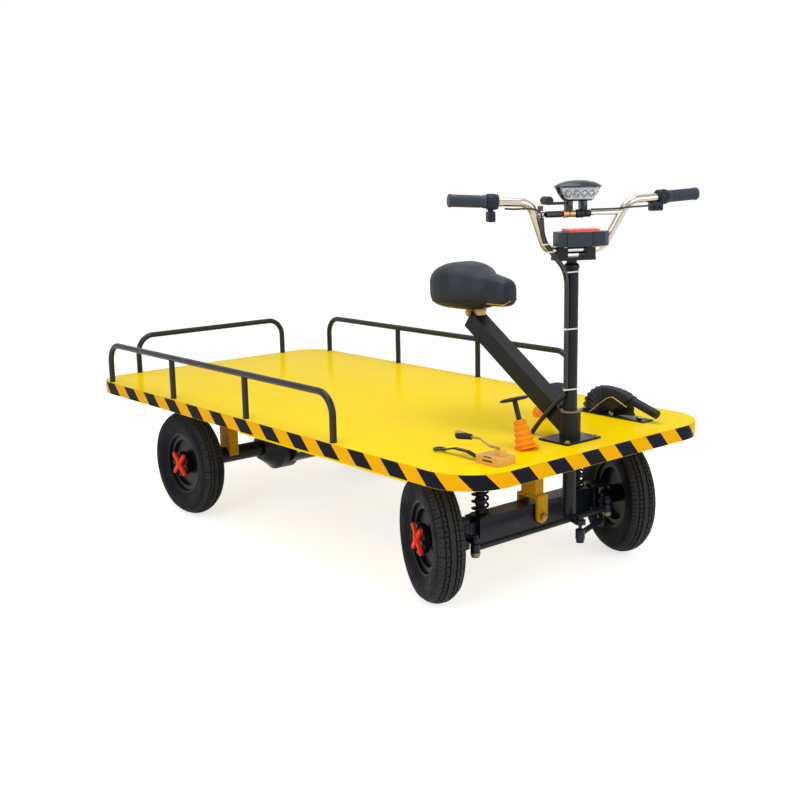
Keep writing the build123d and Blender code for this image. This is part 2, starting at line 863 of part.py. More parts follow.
def make_yoke():
    """Foot plate on the column's neck, two clamp blocks round the bar, and the plate under the pod."""
    top = pod_low - seat_gap
    plate_low = top - pod_plate_sheet
    half = yoke_block_width / 2
    yoke = block(-yoke_rear, yoke_front, -yoke_half, yoke_half, yoke_z, yoke_z + yoke_plate)
    for s in (-yoke_block_s, yoke_block_s):
        yoke += block(-half, yoke_front, s - half, s + half, yoke_z, plate_low)
    yoke += block(0, pod_rear + pod_depth / 2, -yoke_block_s, yoke_block_s, plate_low, top)
    return yoke - crosswise(bar_low[0], bar_low[2], -yoke_half, yoke_half, bar_radius)


def along_bar(side, distance):
    """A place on the bar's outer run, its Z pointing inwards along the bar."""
    end = Vector(*bar_point(side, bar_end))
    bend = Vector(*bar_point(side, bar_bend))
    inward = (bend - end).normalized()
    return Plane(origin=end + inward * distance, z_dir=inward, x_dir=(1, 0, 0)).location


def ring_on_bar(side, start, length, radius):
    """A sleeve round the bar."""
    sleeve = Cylinder(radius, length) - Cylinder(bar_radius, length)
    return along_bar(side, start + length / 2) * sleeve


def make_grip(side):
    cap = along_bar(side, -grip_cap / 2) * Cylinder(grip_radius, grip_cap)
    return ring_on_bar(side, 0, grip_length, grip_radius) + cap


controls = {
    # length along the bar, radius, drop of the switch box below the bar
    "throttle_housing": (-1, 34.0, 20.0, 68.0),
    "switch_cluster": (1, 36.0, 22.0, 40.0),
}


def make_control(side, length, radius, drop):
    start = grip_length + control_gap
    control = ring_on_bar(side, start, length, radius)
    centre = along_bar(side, start + length / 2).position
    half = length / 2 - control_gap
    return control + block(centre.X - radius / 2, centre.X + radius / 2, centre.Y - half, centre.Y + half,
                           centre.Z - drop, centre.Z - (bar_radius + radius) / 2)


# Headlamp with a domed shell over a curved lens
def lamp_outline(inset, low, high):
    """Front outline of the lamp: narrow below, widest above the middle, domed on top."""
    half = lamp_width / 2 - inset
    widest = lamp_low + lens_height - inset
    foot = lamp_base_width / 2 - inset
    with BuildSketch(Plane.YZ) as front:
        with BuildLine():
            Line((-foot, low), (foot, low))
            Line((foot, low), (half, widest))
            ThreePointArc((half, widest), (0, high), (-half, widest))
            Line((-half, widest), (-foot, low))
        make_face()
    return front.sketch


def lamp_plan(margin):
    """Plan outline of the lamp: an oval as deep as its shell."""
    centre = lamp_rear + lamp_depth / 2
    return Pos(centre, 0, 0) * Ellipse(lamp_depth / 2 + margin, lamp_width / 2 + 2 * margin)


def make_headlamp():
    reach = lamp_rear + 2 * lamp_depth
    shell = extrude(lamp_outline(0, lamp_low, lamp_high), reach)
    lamp = shell & Pos(0, 0, lamp_low) * extrude(lamp_plan(lens_margin), lamp_high - lamp_low)
    lamp -= make_lens_space()
    half_s, half_e = lamp_foot_width / 2, lamp_foot_depth / 2
    middle = lamp_rear + lamp_depth / 2
    for s in (-lamp_foot_s, lamp_foot_s):
        lamp += block(middle - half_e, middle + half_e, s - half_s, s + half_s,
                      crossbar_z + crossbar_radius, lamp_low + lens_margin)
    return lamp


def make_lens_space():
    """The front of the lamp, below its brow, where the lens sits."""
    reach = lamp_rear + 2 * lamp_depth
    face = extrude(lamp_outline(lens_margin, lamp_low + lens_margin, lamp_low + lens_height), reach)
    deep = Pos(0, 0, lamp_low) * extrude(lamp_plan(lens_margin), lamp_high - lamp_low)
    behind = Pos(-lens_sheet, 0, lamp_low) * extrude(lamp_plan(lens_margin), lamp_high - lamp_low)
    return face & (deep - behind) & block(lamp_rear + lamp_depth / 2, reach, -lamp_width, lamp_width,
                                          lamp_low, lamp_high)


def make_lock():
    lock = Pos(lamp_rear + lamp_depth / 2, -lock_s, lock_z) * Rot(0, 90, 0) * Cylinder(lock_radius, lock_length)
    x = lamp_rear + lamp_depth / 2
    low = lock_z - lock_radius
    return lock + block(x - lock_radius / 2, x + lock_radius / 2, -lock_s, -lamp_foot_s - lamp_foot_width / 2,
                        low, low + lock_stem_depth)


def make_pod():
    front, half = pod_rear + pod_depth, pod_width / 2
    plan = [(pod_rear, -half + pod_flank / 2), (front - pod_flank, -half), (front, -half + pod_chamfer),
            (front, half - pod_chamfer), (front - pod_flank, half), (pod_rear, half - pod_flank / 2)]
    return Pos(0, 0, pod_low) * extrude(make_face(Polyline(*plan, close=True)), pod_height)


def make_pod_panel():
    rear, front = pod_rear + panel_height, pod_rear + pod_depth - panel_height
    side = [(rear, pod_top), (front, pod_top), (front - panel_height, pod_top + panel_height - panel_crown),
            (rear + panel_height, pod_top + panel_height)]
    return extrude(Plane.XZ * make_face(Polyline(*side, close=True)), panel_width / 2, both=True)


# Cable bundle down the column, its tail to the deck, and the thin cables along the bar
bundle_reach = column_radius + bundle_radius
bundle_low_z = deck_top + bundle_low
bundle_run = (
    # forward, to the left, height, from the yoke's side down to the column
    (56.0, -114.0, 1026.0),
    (46.0, -105.0, 970.0),
    (47.0, -74.0, 928.0),
    (41.0, -44.0, 896.0),
)
bundle_meets_column = 858.0
tail_run = (
    # back, to the right and down from the bundle's lower end
    (0.0, 0.0, 0.0),
    (12.0, 4.0, 16.0),
    (34.0, 8.0, 38.0),
    (66.0, 8.0, 70.0),
    (106.0, 5.0, 116.0),
    (122.0, 4.0, 138.0),
)
throttle_cable_run = (
    # forward, to the left, height
    (48.0, -212.0, 1052.0),
    (52.0, -188.0, 1050.0),
    (57.0, -162.0, 1051.0),
    (61.0, -138.0, 1050.0),
)
cluster_cable_run = (
    # forward, to the left, height
    (48.0, 212.0, 1050.0),
    (52.0, 186.0, 1048.0),
    (58.0, 156.0, 1048.0),
    (56.0, 128.0, 1046.0),
)
cable_on_bar_run = (
    # forward, to the left, along the top of the crossbar
    (46.0, 100.0),
    (42.0, 72.0),
)
cable_rise = 15.0


def make_bundle():
    e = bundle_reach * math.cos(math.radians(bundle_angle))
    s = bundle_reach * math.sin(math.radians(bundle_angle))
    points = [*bundle_run, (e, s, bundle_meets_column), (e, s, bundle_low_z)]
    return tube_path(points, cord_radii(points), bundle_radius)


def make_tail():
    angle = math.radians(bundle_angle + parked_turn)
    x = column_x + (bundle_reach + tail_gap) * math.cos(angle)
    y = column_y + (bundle_reach + tail_gap) * math.sin(angle)
    z = bundle_low_z - tail_drop
    points = [(x - back, y - right, z - down) for back, right, down in tail_run]
    tail = tube_path(points, cord_radii(points), bundle_radius)
    reach = 20 * bundle_radius
    return tail - block(x - 2 * reach, x, y - reach, y + reach, deck_top - reach, deck_top)


def make_control_cables():
    """A cable from each switch box: one to the head of the bundle, one to the lamp's foot along the crossbar."""
    top = Vector(*bundle_run[0])
    up = (top - Vector(*bundle_run[1])).normalized()
    right = [*throttle_cable_run, tuple(top + up * cable_rise), tuple(top + up * seat_gap)]
    over_bar = crossbar_z + crossbar_radius + cable_radius + seat_gap
    foot_s = head_s + lamp_foot_s + lamp_foot_width / 2 + seat_gap
    forward = cable_on_bar_run[-1][0]
    left = [*cluster_cable_run, *[(e, s, over_bar) for e, s in cable_on_bar_run], (forward, foot_s, over_bar)]
    return [tube_path(points, cord_radii(points), cable_radius) for points in (right, left)]


# Knuckles, tie rod and drag link
def make_knuckle(side):
    low = beam_z - barrel_half - fork_gap - fork_plate
    high = beam_z + barrel_half + fork_gap
    knuckle = upright(0, 0, low, high + fork_plate, kingpin_radius)
    for z in (low, high):
        knuckle += upright(0, 0, z, z + fork_plate, barrel_radius)
        knuckle += block(-fork_width / 2, fork_width / 2, 0, side * fork_reach, z, z + fork_plate)
    knuckle += block(-fork_width / 2, fork_width / 2, side * (fork_reach - fork_plate), side * fork_reach,
                     low, high + fork_plate)
    shoulder_end = kingpin_offset - front_hub_inner - shoulder_gap
    knuckle += crosswise(0, wheel_z, side * fork_reach, side * shoulder_end, shoulder_radius)
    knuckle += crosswise(0, wheel_z, side * fork_reach, side * (kingpin_offset + rim_width / 2 - spindle_end_gap),
                         spindle_radius)
    arm_high_face = arm_low_z + arm_thickness
    arms = [tie_arm] if side < 0 else [tie_arm, pitman_length]
    for forward in arms:
        tip, root = Vector(forward, 0), Vector(arm_root_x, side * arm_root_y)
        run, centre = tip - root, (tip + root) * 0.5
        slot = SlotCenterToCenter(run.length, arm_width)
        knuckle += Pos(centre.X, centre.Y, arm_low_z) * Rot(0, 0, math.degrees(math.atan2(run.Y, run.X))) * extrude(
            slot, arm_thickness)
        knuckle += Pos(forward, 0, arm_high_face) * stud_nut()
    knuckle += upright(tie_arm, 0, tie_rod_z - ball_stud_depth, arm_low_z, ball_stud_radius)
    if side > 0:
        knuckle += upright(pitman_length, 0, drag_low_z - ball_stud_depth, arm_low_z, ball_stud_radius)
        knuckle += upright(pitman_length, 0, drag_low_z + ball_housing_half + stud_spacer_gap, arm_low_z,
                           stud_spacer_radius)
    return Pos(front_axle_x, side * kingpin_y, 0) * Rot(0, 0, parked_turn) * knuckle


def ball_housing(x, y, z):
    """A ball joint's housing with its cap below and a bore for the stud."""
    housing = upright(x, y, z - ball_housing_half, z + ball_housing_half, ball_housing_radius)
    housing += upright(x, y, z - ball_housing_half - ball_cap_height, z - ball_housing_half, ball_cap_radius)
    return housing - upright(x, y, z - ball_stud_depth - ball_stud_clearance, z + ball_housing_half,
                             ball_stud_radius + running_gap)


def joined_by_rod(ends):
    """A rod between two ball joints."""
    start, end = ends
    rod = bar_between(start, end, link_radius)
    for point in ends:
        rod -= upright(point.X, point.Y, point.Z - ball_housing_half, point.Z + ball_housing_half,
                       ball_housing_radius)
    housings = [ball_housing(point.X, point.Y, point.Z) for point in ends]
    return rod.solids().sort_by(SortBy.VOLUME)[-1] + housings[0] + housings[1]


def make_tie_rod():
    dx, dy = turned(tie_arm)
    return joined_by_rod([Vector(front_axle_x + dx, side * kingpin_y + dy, tie_rod_z) for side in (-1, 1)])


def make_drag_link():
    dx, dy = turned(pitman_length)
    return joined_by_rod([Vector(column_x + dx, column_y + dy, drag_high_z),
                          Vector(front_axle_x + dx, kingpin_y + dy, drag_low_z)])


grips = solids(steered(make_grip(-1)), steered(make_grip(1)))
cart_middle = (grips.bounding_box().max.X - deck_front) / 2
print("cart middle", round(cart_middle, 6))
save("deck", make_deck())
save("edge_bars", solids(make_edge_bar(-1), make_edge_bar(1)))
save("frame", make_frame())
save("guard_rail_right", make_side_guard(-1))
save("guard_rail_left", make_side_guard(1))
save("guard_rail_rear", make_rear_guard())
save("battery_box", make_battery_box())
save("front_beam", make_beam())
save("pivot_bracket", make_pivot_bracket())
save("pivot_bolt", make_pivot_bolt())
save("springs", solids(make_spring(-1), make_spring(1)))
save("spring_bellows", solids(make_bellows(-1), make_bellows(1)))
save("rear_axle", make_rear_axle())
save("brake_plates", solids(make_brake_plate(-1), make_brake_plate(1)))
save("axle_brackets", solids(make_axle_bracket(-1), make_axle_bracket(1)))
save("column_base", make_column_base())
save("seat_arm", make_seat_arm())
save("seat_clamp", make_seat_clamp())
save("saddle", make_saddle())
save("pedals", solids(*[make_pedal(*row) for row in pedals]))
save("pedal_boots", solids(*[make_boot(*row) for row in pedals]))
save("shift_box", make_shift_box())
save("shift_lever", make_shift_lever())
save("park_lever", make_park_lever())
save("hand_brake_base", make_brake_base())
save("hand_brake_gaiter", make_brake_gaiter())
save("hand_brake_lever", make_brake_lever())
save("cable_tail", make_tail())

save("steering_column", steered(make_column()))
save("pitman_arm", steered(make_pitman()))
save("handlebar", steered(make_handlebar()))
save("bar_yoke", steered(make_yoke()))
save("grips", grips)
for name, row in controls.items():
    save(name, steered(make_control(*row)))
save("headlamp", steered(Pos(0, head_s, 0) * make_headlamp()))
save("headlamp_lens", steered(Pos(0, head_s, 0) * make_lens_space()))
save("key_lock", steered(Pos(0, head_s, 0) * make_lock()))
save("instrument_pod", steered(Pos(0, head_s, 0) * make_pod()))
save("pod_panel", steered(Pos(0, head_s, 0) * make_pod_panel()))
save("cable_bundle", steered(make_bundle()))
save("control_cables", solids(*[steered(cable) for cable in make_control_cables()]))

save("knuckle_right", make_knuckle(-1))
save("knuckle_left", make_knuckle(1))
save("tie_rod", make_tie_rod())
save("drag_link", make_drag_link())

tyre = make_tyre()
rim = make_rim()
front_hub = make_hub(-front_hub_inner)
rear_hub = make_hub(-rear_hub_inner, axle_end=-rear_stub_reach)
for side, hand in ((-1, "right"), (1, "left")):
    front_x, front_y = front_wheel_centre(side)
    wheels = (
        # axle, place, hub
        ("front", wheel_place(front_x, front_y, side, parked_turn), front_hub),
        ("rear", wheel_place(rear_axle_x, side * rear_track / 2, side), rear_hub),
    )
    for axle, place, hub in wheels:
        save(f"{axle}_{hand}_tyre", place * tyre)
        save(f"{axle}_{hand}_rim", place * rim)
        save(f"{axle}_{hand}_hub", place * hub)
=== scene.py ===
"""Looks, trim and light of an electric platform cart, built round its fixed frame."""
import json
import logging
import math
from dataclasses import dataclass
from enum import Enum
from typing import Iterable, Optional, Sequence

import bmesh
import bpy
from mathutils import Matrix, Vector
from mathutils.geometry import convex_hull_2d

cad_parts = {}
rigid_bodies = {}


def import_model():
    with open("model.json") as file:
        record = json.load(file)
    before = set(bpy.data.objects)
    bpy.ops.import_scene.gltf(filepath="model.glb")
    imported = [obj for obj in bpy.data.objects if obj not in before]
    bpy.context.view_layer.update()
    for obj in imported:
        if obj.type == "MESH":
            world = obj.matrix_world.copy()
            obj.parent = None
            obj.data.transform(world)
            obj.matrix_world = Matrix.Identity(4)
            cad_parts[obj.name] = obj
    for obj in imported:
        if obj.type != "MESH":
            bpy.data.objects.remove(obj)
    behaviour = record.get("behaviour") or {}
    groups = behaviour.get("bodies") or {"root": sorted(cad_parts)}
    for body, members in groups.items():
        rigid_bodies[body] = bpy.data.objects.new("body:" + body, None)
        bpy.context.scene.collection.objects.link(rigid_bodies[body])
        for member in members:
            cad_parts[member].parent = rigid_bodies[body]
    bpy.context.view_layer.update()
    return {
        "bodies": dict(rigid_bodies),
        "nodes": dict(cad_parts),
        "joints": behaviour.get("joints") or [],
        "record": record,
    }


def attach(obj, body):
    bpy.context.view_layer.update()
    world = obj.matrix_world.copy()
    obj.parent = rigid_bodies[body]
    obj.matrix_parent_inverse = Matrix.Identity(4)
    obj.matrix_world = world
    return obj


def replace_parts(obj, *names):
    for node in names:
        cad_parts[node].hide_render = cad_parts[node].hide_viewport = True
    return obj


LOG = logging.getLogger("cart")
MM = 0.001  # shapes are made in millimetres, and become metres in Workshop.add

Point = tuple[float, float, float]
Colour = tuple[float, float, float]
Line = tuple[Point, ...]
Outline = tuple[tuple[float, float], ...]
Shape = bmesh.types.BMesh
Tree = bpy.types.NodeTree
Socket = bpy.types.NodeSocket


class Grain(Enum):
    """How a surface is broken up: noise scale per metre, height in metres, and spread of its roughness."""

    GLOSS_PAINT = (60.0, 0.00004, 0.05)
    SATIN_PAINT = (700.0, 0.00006, 0.08)
    POLISH = (35.0, 0.00002, 0.05)
    PLATING = (420.0, 0.00005, 0.10)
    PLASTIC = (1500.0, 0.00004, 0.06)
    RUBBER = (900.0, 0.00008, 0.10)
    VINYL = (520.0, 0.00012, 0.08)
    CLEAR = (30.0, 0.000004, 0.01)


@dataclass(frozen=True)
class Finish:
    """One material: its colour, shine and grain, and the record's slot it stands for."""

    name: str
    colour: Colour
    roughness: float
    grain: Grain
    metallic: float = 0.0
    coat: float = 0.0
    second: Optional[Colour] = None
    transmission: float = 0.0
    specular: float = 0.5
    slot: Optional[str] = None
    second_by: Optional[str] = None  # the mesh attribute that brings in the second colour


YELLOW = Finish("yellow paint", (1.0, 0.72, 0.002), 0.2, Grain.GLOSS_PAINT, specular=0.004,
                second=(0.99, 0.69, 0.002), slot="yellow_paint")
# the deck's yellow paint darkened: painted shade for the brackets that sit under the deck
SHADED_YELLOW = Finish("shaded bracket yellow", (0.85, 0.47, 0.005), 0.32, Grain.SATIN_PAINT, specular=0.08,
                    second=(0.72, 0.38, 0.005), slot="yellow_paint")
BLACK_PAINT = Finish("black paint", (0.006, 0.0065, 0.008), 0.34, Grain.SATIN_PAINT, specular=0.2,
                     second=(0.01, 0.011, 0.013), slot="black_paint")
BEAM_PAINT = Finish("beam enamel", (0.004, 0.006, 0.013), 0.34, Grain.SATIN_PAINT, specular=0.22,
                    second=(0.008, 0.01, 0.019), slot="black_paint")
RAIL_PAINT = Finish("rail paint", (0.009, 0.009, 0.011), 0.3, Grain.SATIN_PAINT, specular=0.3,
                    second=(0.014, 0.014, 0.016), slot="black_paint")
RIM_PAINT = Finish("rim paint", (0.004, 0.004, 0.006), 0.36, Grain.GLOSS_PAINT, specular=0.15,
                   second=(0.009, 0.009, 0.011), slot="rim_black")
HUB_RED = Finish("hub red", (1.0, 0.045, 0.006), 0.4, Grain.SATIN_PAINT, specular=0.1,
                 second=(0.85, 0.04, 0.01), slot="hub_red")
BLACK_PLASTIC = Finish("black plastic", (0.009, 0.012, 0.02), 0.42, Grain.PLASTIC, specular=0.2,
                       second=(0.014, 0.018, 0.028), slot="black_plastic")
GLOSS_PLASTIC = Finish("lamp plastic", (0.008, 0.012, 0.024), 0.2, Grain.PLASTIC, coat=0.12, specular=0.3,
                       second=(0.012, 0.018, 0.034), slot="black_plastic")
POD_PLASTIC = Finish("pod plastic", (0.014, 0.023, 0.036), 0.42, Grain.PLASTIC, specular=0.25,
                     second=(0.02, 0.03, 0.045), slot="black_plastic")
PLEATED = Finish("pleated rubber", (0.008, 0.008, 0.013), 0.38, Grain.RUBBER, specular=0.25,
                 second=(0.013, 0.013, 0.02), slot="black_plastic")
GRIP = Finish("grip rubber", (0.013, 0.02, 0.036), 0.5, Grain.RUBBER, specular=0.4, second=(0.02, 0.029, 0.048),
              slot="grip_rubber")
RED_PLASTIC = Finish("red plastic", (0.78, 0.05, 0.022), 0.22, Grain.PLASTIC, coat=0.3, slot="red_plastic")
TAG_RED = Finish("tag red", (0.16, 0.008, 0.012), 0.4, Grain.PLASTIC)
ORANGE_RUBBER = Finish("orange rubber", (1.0, 0.34, 0.008), 0.45, Grain.RUBBER, specular=0.1,
                       second=(0.95, 0.27, 0.01), slot="orange_rubber")
TYRE = Finish("tyre rubber", (0.0055, 0.006, 0.0095), 0.66, Grain.RUBBER, specular=0.1, slot="tyre",
              second=(0.032, 0.033, 0.034), second_by="wear")
CHROME = Finish("chrome", (0.5, 0.48, 0.44), 0.2, Grain.POLISH, metallic=1.0, second=(0.4, 0.34, 0.26),
                slot="chrome")
ZINC = Finish("passivated zinc", (0.7, 0.36, 0.08), 0.4, Grain.PLATING, metallic=0.4, specular=0.2,
              second=(0.78, 0.46, 0.12), slot="zinc")
BRASS = Finish("yellow zinc", (0.5, 0.32, 0.09), 0.34, Grain.PLATING, metallic=0.85, second=(0.38, 0.26, 0.08))
STEEL = Finish("bright steel", (0.58, 0.57, 0.55), 0.28, Grain.PLATING, metallic=1.0, second=(0.48, 0.46, 0.42))
TAN_CAP = Finish("dust cap", (0.3, 0.24, 0.15), 0.45, Grain.PLATING, metallic=0.4, second=(0.2, 0.15, 0.09))
CABLE = Finish("cable sheath", (0.006, 0.006, 0.007), 0.36, Grain.RUBBER, specular=0.5, slot="cable_black")
PALE_CORE = Finish("cable core", (0.6, 0.55, 0.45), 0.5, Grain.PLASTIC)
TIE_WHITE = Finish("white nylon", (0.8, 0.8, 0.78), 0.4, Grain.PLASTIC)
VINYL = Finish("saddle vinyl", (0.008, 0.011, 0.018), 0.46, Grain.VINYL, specular=0.26,
               second=(0.016, 0.022, 0.034), slot="vinyl")
PIPING = Finish("yellow piping", (0.75, 0.4, 0.02), 0.5, Grain.VINYL)
LENS = Finish("lamp lens", (0.93, 0.95, 0.97), 0.05, Grain.CLEAR, transmission=1.0, slot="lens")
REFLECTOR = Finish("lamp reflector", (0.78, 0.8, 0.82), 0.35, Grain.PLATING, metallic=0.2)
CUP = Finish("diode cup", (0.12, 0.12, 0.12), 0.3, Grain.POLISH, metallic=0.6)
DIODE = Finish("lamp diode", (0.9, 0.9, 0.82), 0.3, Grain.PLASTIC)
TAPE = Finish("hazard tape", (1.0, 0.48, 0.003), 0.3, Grain.GLOSS_PAINT, specular=0.02)
FLOOR = Finish("studio floor", (0.9, 0.9, 0.9), 0.8, Grain.PLASTIC, specular=0.2)

NODE_FINISHES: tuple[tuple[Finish, tuple[str, ...]], ...] = (
    (YELLOW, ("deck", "frame", "edge_bars")),
    # the brackets under the deck take the yellow paint with painted shade
    (SHADED_YELLOW, ("pivot_bracket", "axle_brackets")),
    (RAIL_PAINT, ("guard_rail_right", "guard_rail_left", "guard_rail_rear")),
    (BEAM_PAINT, ("front_beam", "tie_rod", "drag_link", "knuckle_right", "knuckle_left", "pitman_arm")),
    (BLACK_PAINT, (
        "battery_box", "rear_axle", "brake_plates", "column_base", "seat_arm", "springs", "pedals",
        "park_lever", "hand_brake_base", "steering_column", "bar_yoke")),
    (ZINC, ("shift_box",)),
    (BRASS, ("pivot_bolt", "seat_clamp", "shift_lever")),
    (BLACK_PLASTIC, (
        "spring_bellows", "hand_brake_gaiter", "hand_brake_lever", "throttle_housing", "switch_cluster",
        "key_lock")),
    (POD_PLASTIC, ("instrument_pod",)),
    (GLOSS_PLASTIC, ("headlamp",)),
    (LENS, ("headlamp_lens",)),
    (CHROME, ("handlebar",)),
    (GRIP, ("grips",)),
    (RED_PLASTIC, ("pod_panel",)),
    (ORANGE_RUBBER, ("pedal_boots",)),
    (VINYL, ("saddle",)),
    (CABLE, ("cable_tail", "cable_bundle", "control_cables")),
)
WHEELS = ("front_right", "front_left", "rear_right", "rear_left")


def shader_node(tree: Tree, kind: str, **values: float | Sequence[float]) -> bpy.types.Node:
    """Adds a shader node and sets inputs by their names, an underline standing for a blank."""
    node = tree.nodes.new(f"ShaderNode{kind}")
    for name, value in values.items():
        node.inputs[name.replace("_", " ")].default_value = value
    return node


def arithmetic(tree: Tree, operation: str, first: Socket,
               second: float | Socket = 0.0, clamp: bool = False) -> Socket:
    """One step of arithmetic on a value, with a number or with another value."""
    node = tree.nodes.new("ShaderNodeMath")
    node.operation = operation
    node.use_clamp = clamp
    tree.links.new(first, node.inputs[0])
    if isinstance(second, float):
        node.inputs[1].default_value = second
    else:
        tree.links.new(second, node.inputs[1])
    return node.outputs[0]


def blend(tree: Tree, first: Colour, second: Colour, weight: Socket) -> None:
    """Makes a mix of two colours the material's base colour."""
    mix = tree.nodes.new("ShaderNodeMix")
    mix.data_type = "RGBA"
    mix.inputs["A"].default_value = (*first, 1.0)
    mix.inputs["B"].default_value = (*second, 1.0)
    tree.links.new(weight, mix.inputs["Factor"])
    tree.links.new(mix.outputs["Result"], tree.nodes["Principled BSDF"].inputs["Base Color"])


def attribute(tree: Tree, name: str) -> Socket:
    """Reads a number that the mesh carries at its points."""
    node = tree.nodes.new("ShaderNodeAttribute")
    node.attribute_name = name
    return node.outputs["Fac"]


class Palette:
    """Makes each finish's material once and hands it out."""

    coat_roughness: float = 0.06
    noise_middle: tuple[float, float] = (0.3, 0.7)  # the part of the noise that spreads the roughness
    bump_strength: float = 0.6
    broader: float = 40.0  # how much larger the noise for colour and roughness is than the one for relief

    def __init__(self) -> None:
        """Starts with no materials."""
        self.made: dict[str, bpy.types.Material] = {}

    def get(self, finish: Finish) -> bpy.types.Material:
        """Returns the finish's material, made at its first use."""
        if finish.name not in self.made:
            self.made[finish.name] = self._make(finish)
        return self.made[finish.name]

    def _make(self, finish: Finish) -> bpy.types.Material:
        """Builds the nodes: object coordinates, noise, roughness spread, colour spread and bump."""
        material = bpy.data.materials.new(finish.name)
        material.use_nodes = True
        tree = material.node_tree
        shader = tree.nodes["Principled BSDF"]
        for name, value in (
            ("Base Color", (*finish.colour, 1.0)), ("Metallic", finish.metallic), ("Coat Weight", finish.coat),
            ("Coat Roughness", self.coat_roughness), ("Transmission Weight", finish.transmission),
            ("Specular IOR Level", finish.specular),
        ):
            shader.inputs[name].default_value = value
        scale, height, spread = finish.grain.value
        fine = self._noise(tree, scale, 3.0)
        broad = self._noise(tree, scale / self.broader, 4.0)
        low, high = self.noise_middle
        least, most = max(finish.roughness - spread, 0.02), min(finish.roughness + spread, 1.0)
        span = shader_node(tree, "MapRange", From_Min=low, From_Max=high, To_Min=least, To_Max=most)
        tree.links.new(broad, span.inputs["Value"])
        tree.links.new(span.outputs["Result"], shader.inputs["Roughness"])
        bump = shader_node(tree, "Bump", Strength=self.bump_strength, Distance=height)
        tree.links.new(fine, bump.inputs["Height"])
        tree.links.new(bump.outputs["Normal"], shader.inputs["Normal"])
        if finish.second:
            weight = attribute(tree, finish.second_by) if finish.second_by else broad
            blend(tree, finish.colour, finish.second, weight)
        return material

    def _noise(self, tree: Tree, scale: float, detail: float) -> Socket:
        """A noise on object coordinates."""
        noise = shader_node(tree, "TexNoise", Scale=scale, Detail=detail)
        tree.links.new(shader_node(tree, "TexCoord").outputs["Object"], noise.inputs["Vector"])
        return noise.outputs["Fac"]


@dataclass
class Workshop:
    """What every sub-assembly builds with: the frame, the palette and the pieces made so far."""

    frame: dict
    palette: Palette
    count: int = 0

    def add(self, name: str, bm: Shape, finish: Finish, body: Optional[str],
            smooth: Optional[float] = 35.0) -> bpy.types.Object:
        """Turns a bmesh into a finished piece.

        Args:
            name: the piece's name.
            bm: its shape in the cart's own frame, in millimetres, freed here.
            finish: its material.
            body: the body it rides on, or None where the caller decides.
            smooth: sharpest smooth edge in degrees, or None for flat faces.

        Returns:
            The new object.
        """
        moved(bm, Matrix.Diagonal((MM, MM, MM, 1.0)))
        bmesh.ops.recalc_face_normals(bm, faces=bm.faces)
        mesh = bpy.data.meshes.new(name)
        bm.to_mesh(mesh)
        bm.free()
        obj = bpy.data.objects.new(name, mesh)
        bpy.context.scene.collection.objects.link(obj)
        mesh.materials.append(self.palette.get(finish))
        if smooth is not None:
            mesh.shade_smooth()
            mesh.set_sharp_from_angle(angle=math.radians(smooth))
        if body:
            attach(obj, body)
        self.count += 1
        LOG.info("piece %s: %d faces on %s", name, len(mesh.polygons), body)
        return obj


def moved(bm: Shape, matrix: Matrix) -> Shape:
    """Moves a whole bmesh by a matrix and gives it back."""
    bmesh.ops.transform(bm, matrix=matrix, verts=bm.verts)
    return bm


def joined(parts: Iterable[Shape]) -> Shape:
    """Puts several bmeshes into one and frees them."""
    whole = bmesh.new()
    for part in parts:
        mesh = bpy.data.meshes.new("part")
        part.to_mesh(mesh)
        part.free()
        whole.from_mesh(mesh)
        bpy.data.meshes.remove(mesh)
    return whole


def lathe(profile: Sequence[tuple[float, float]], steps: int, closed: bool = False,
          weld: float = 1e-3) -> Shape:
    """Spins an outline of (radius, height) about Z.

    Args:
        profile: the outline's points.
        steps: how many steps go round.
        closed: whether the last point joins the first.
        weld: how near points are that become one.

    Returns:
        The turned shape, standing on Z.
    """
    bm = bmesh.new()
    verts = [bm.verts.new((radius, 0.0, height)) for radius, height in profile]
    edges = [bm.edges.new(pair) for pair in zip(verts, verts[1:])]
    if closed:
        edges.append(bm.edges.new((verts[-1], verts[0])))
    bmesh.ops.spin(bm, geom=verts + edges, cent=(0, 0, 0), axis=(0, 0, 1), angle=math.tau, steps=steps,
                   use_merge=True)
    bmesh.ops.remove_doubles(bm, verts=bm.verts, dist=weld)
    return bm


def turned_to(direction: Sequence[float], place: Sequence[float]) -> Matrix:
    """A matrix that stands Z along the direction, at the place."""
    return Matrix.Translation(place) @ Vector(direction).to_track_quat("Z", "Y").to_matrix().to_4x4()


def rod(start: Sequence[float], end: Sequence[float], radius: float, steps: int = 16) -> Shape:
    """A round bar from one point to another."""
    start, end = Vector(start), Vector(end)
    bm = bmesh.new()
    bmesh.ops.create_cone(bm, cap_ends=True, segments=steps, radius1=radius, radius2=radius,
                          depth=(end - start).length)
    return moved(bm, turned_to(end - start, (start + end) / 2))


def rounded(bm: Shape, edges: Sequence[bmesh.types.BMEdge], offset: float, segments: int = 2) -> Shape:
    """Rounds some edges of a bmesh and gives it back."""
    bmesh.ops.bevel(bm, geom=edges, offset=offset, affect="EDGES", segments=segments, profile=0.5, material=-1)
    return bm


def brick(low: Sequence[float], high: Sequence[float], bevel: float, segments: int = 2) -> Shape:
    """A box between two corners with rounded edges."""
    low, high = Vector(low), Vector(high)
    bm = bmesh.new()
    bmesh.ops.create_cube(bm, size=1.0)
    moved(bm, Matrix.Translation((low + high) / 2) @ Matrix.Diagonal((*(high - low), 1.0)))
    return rounded(bm, bm.edges, bevel, segments)


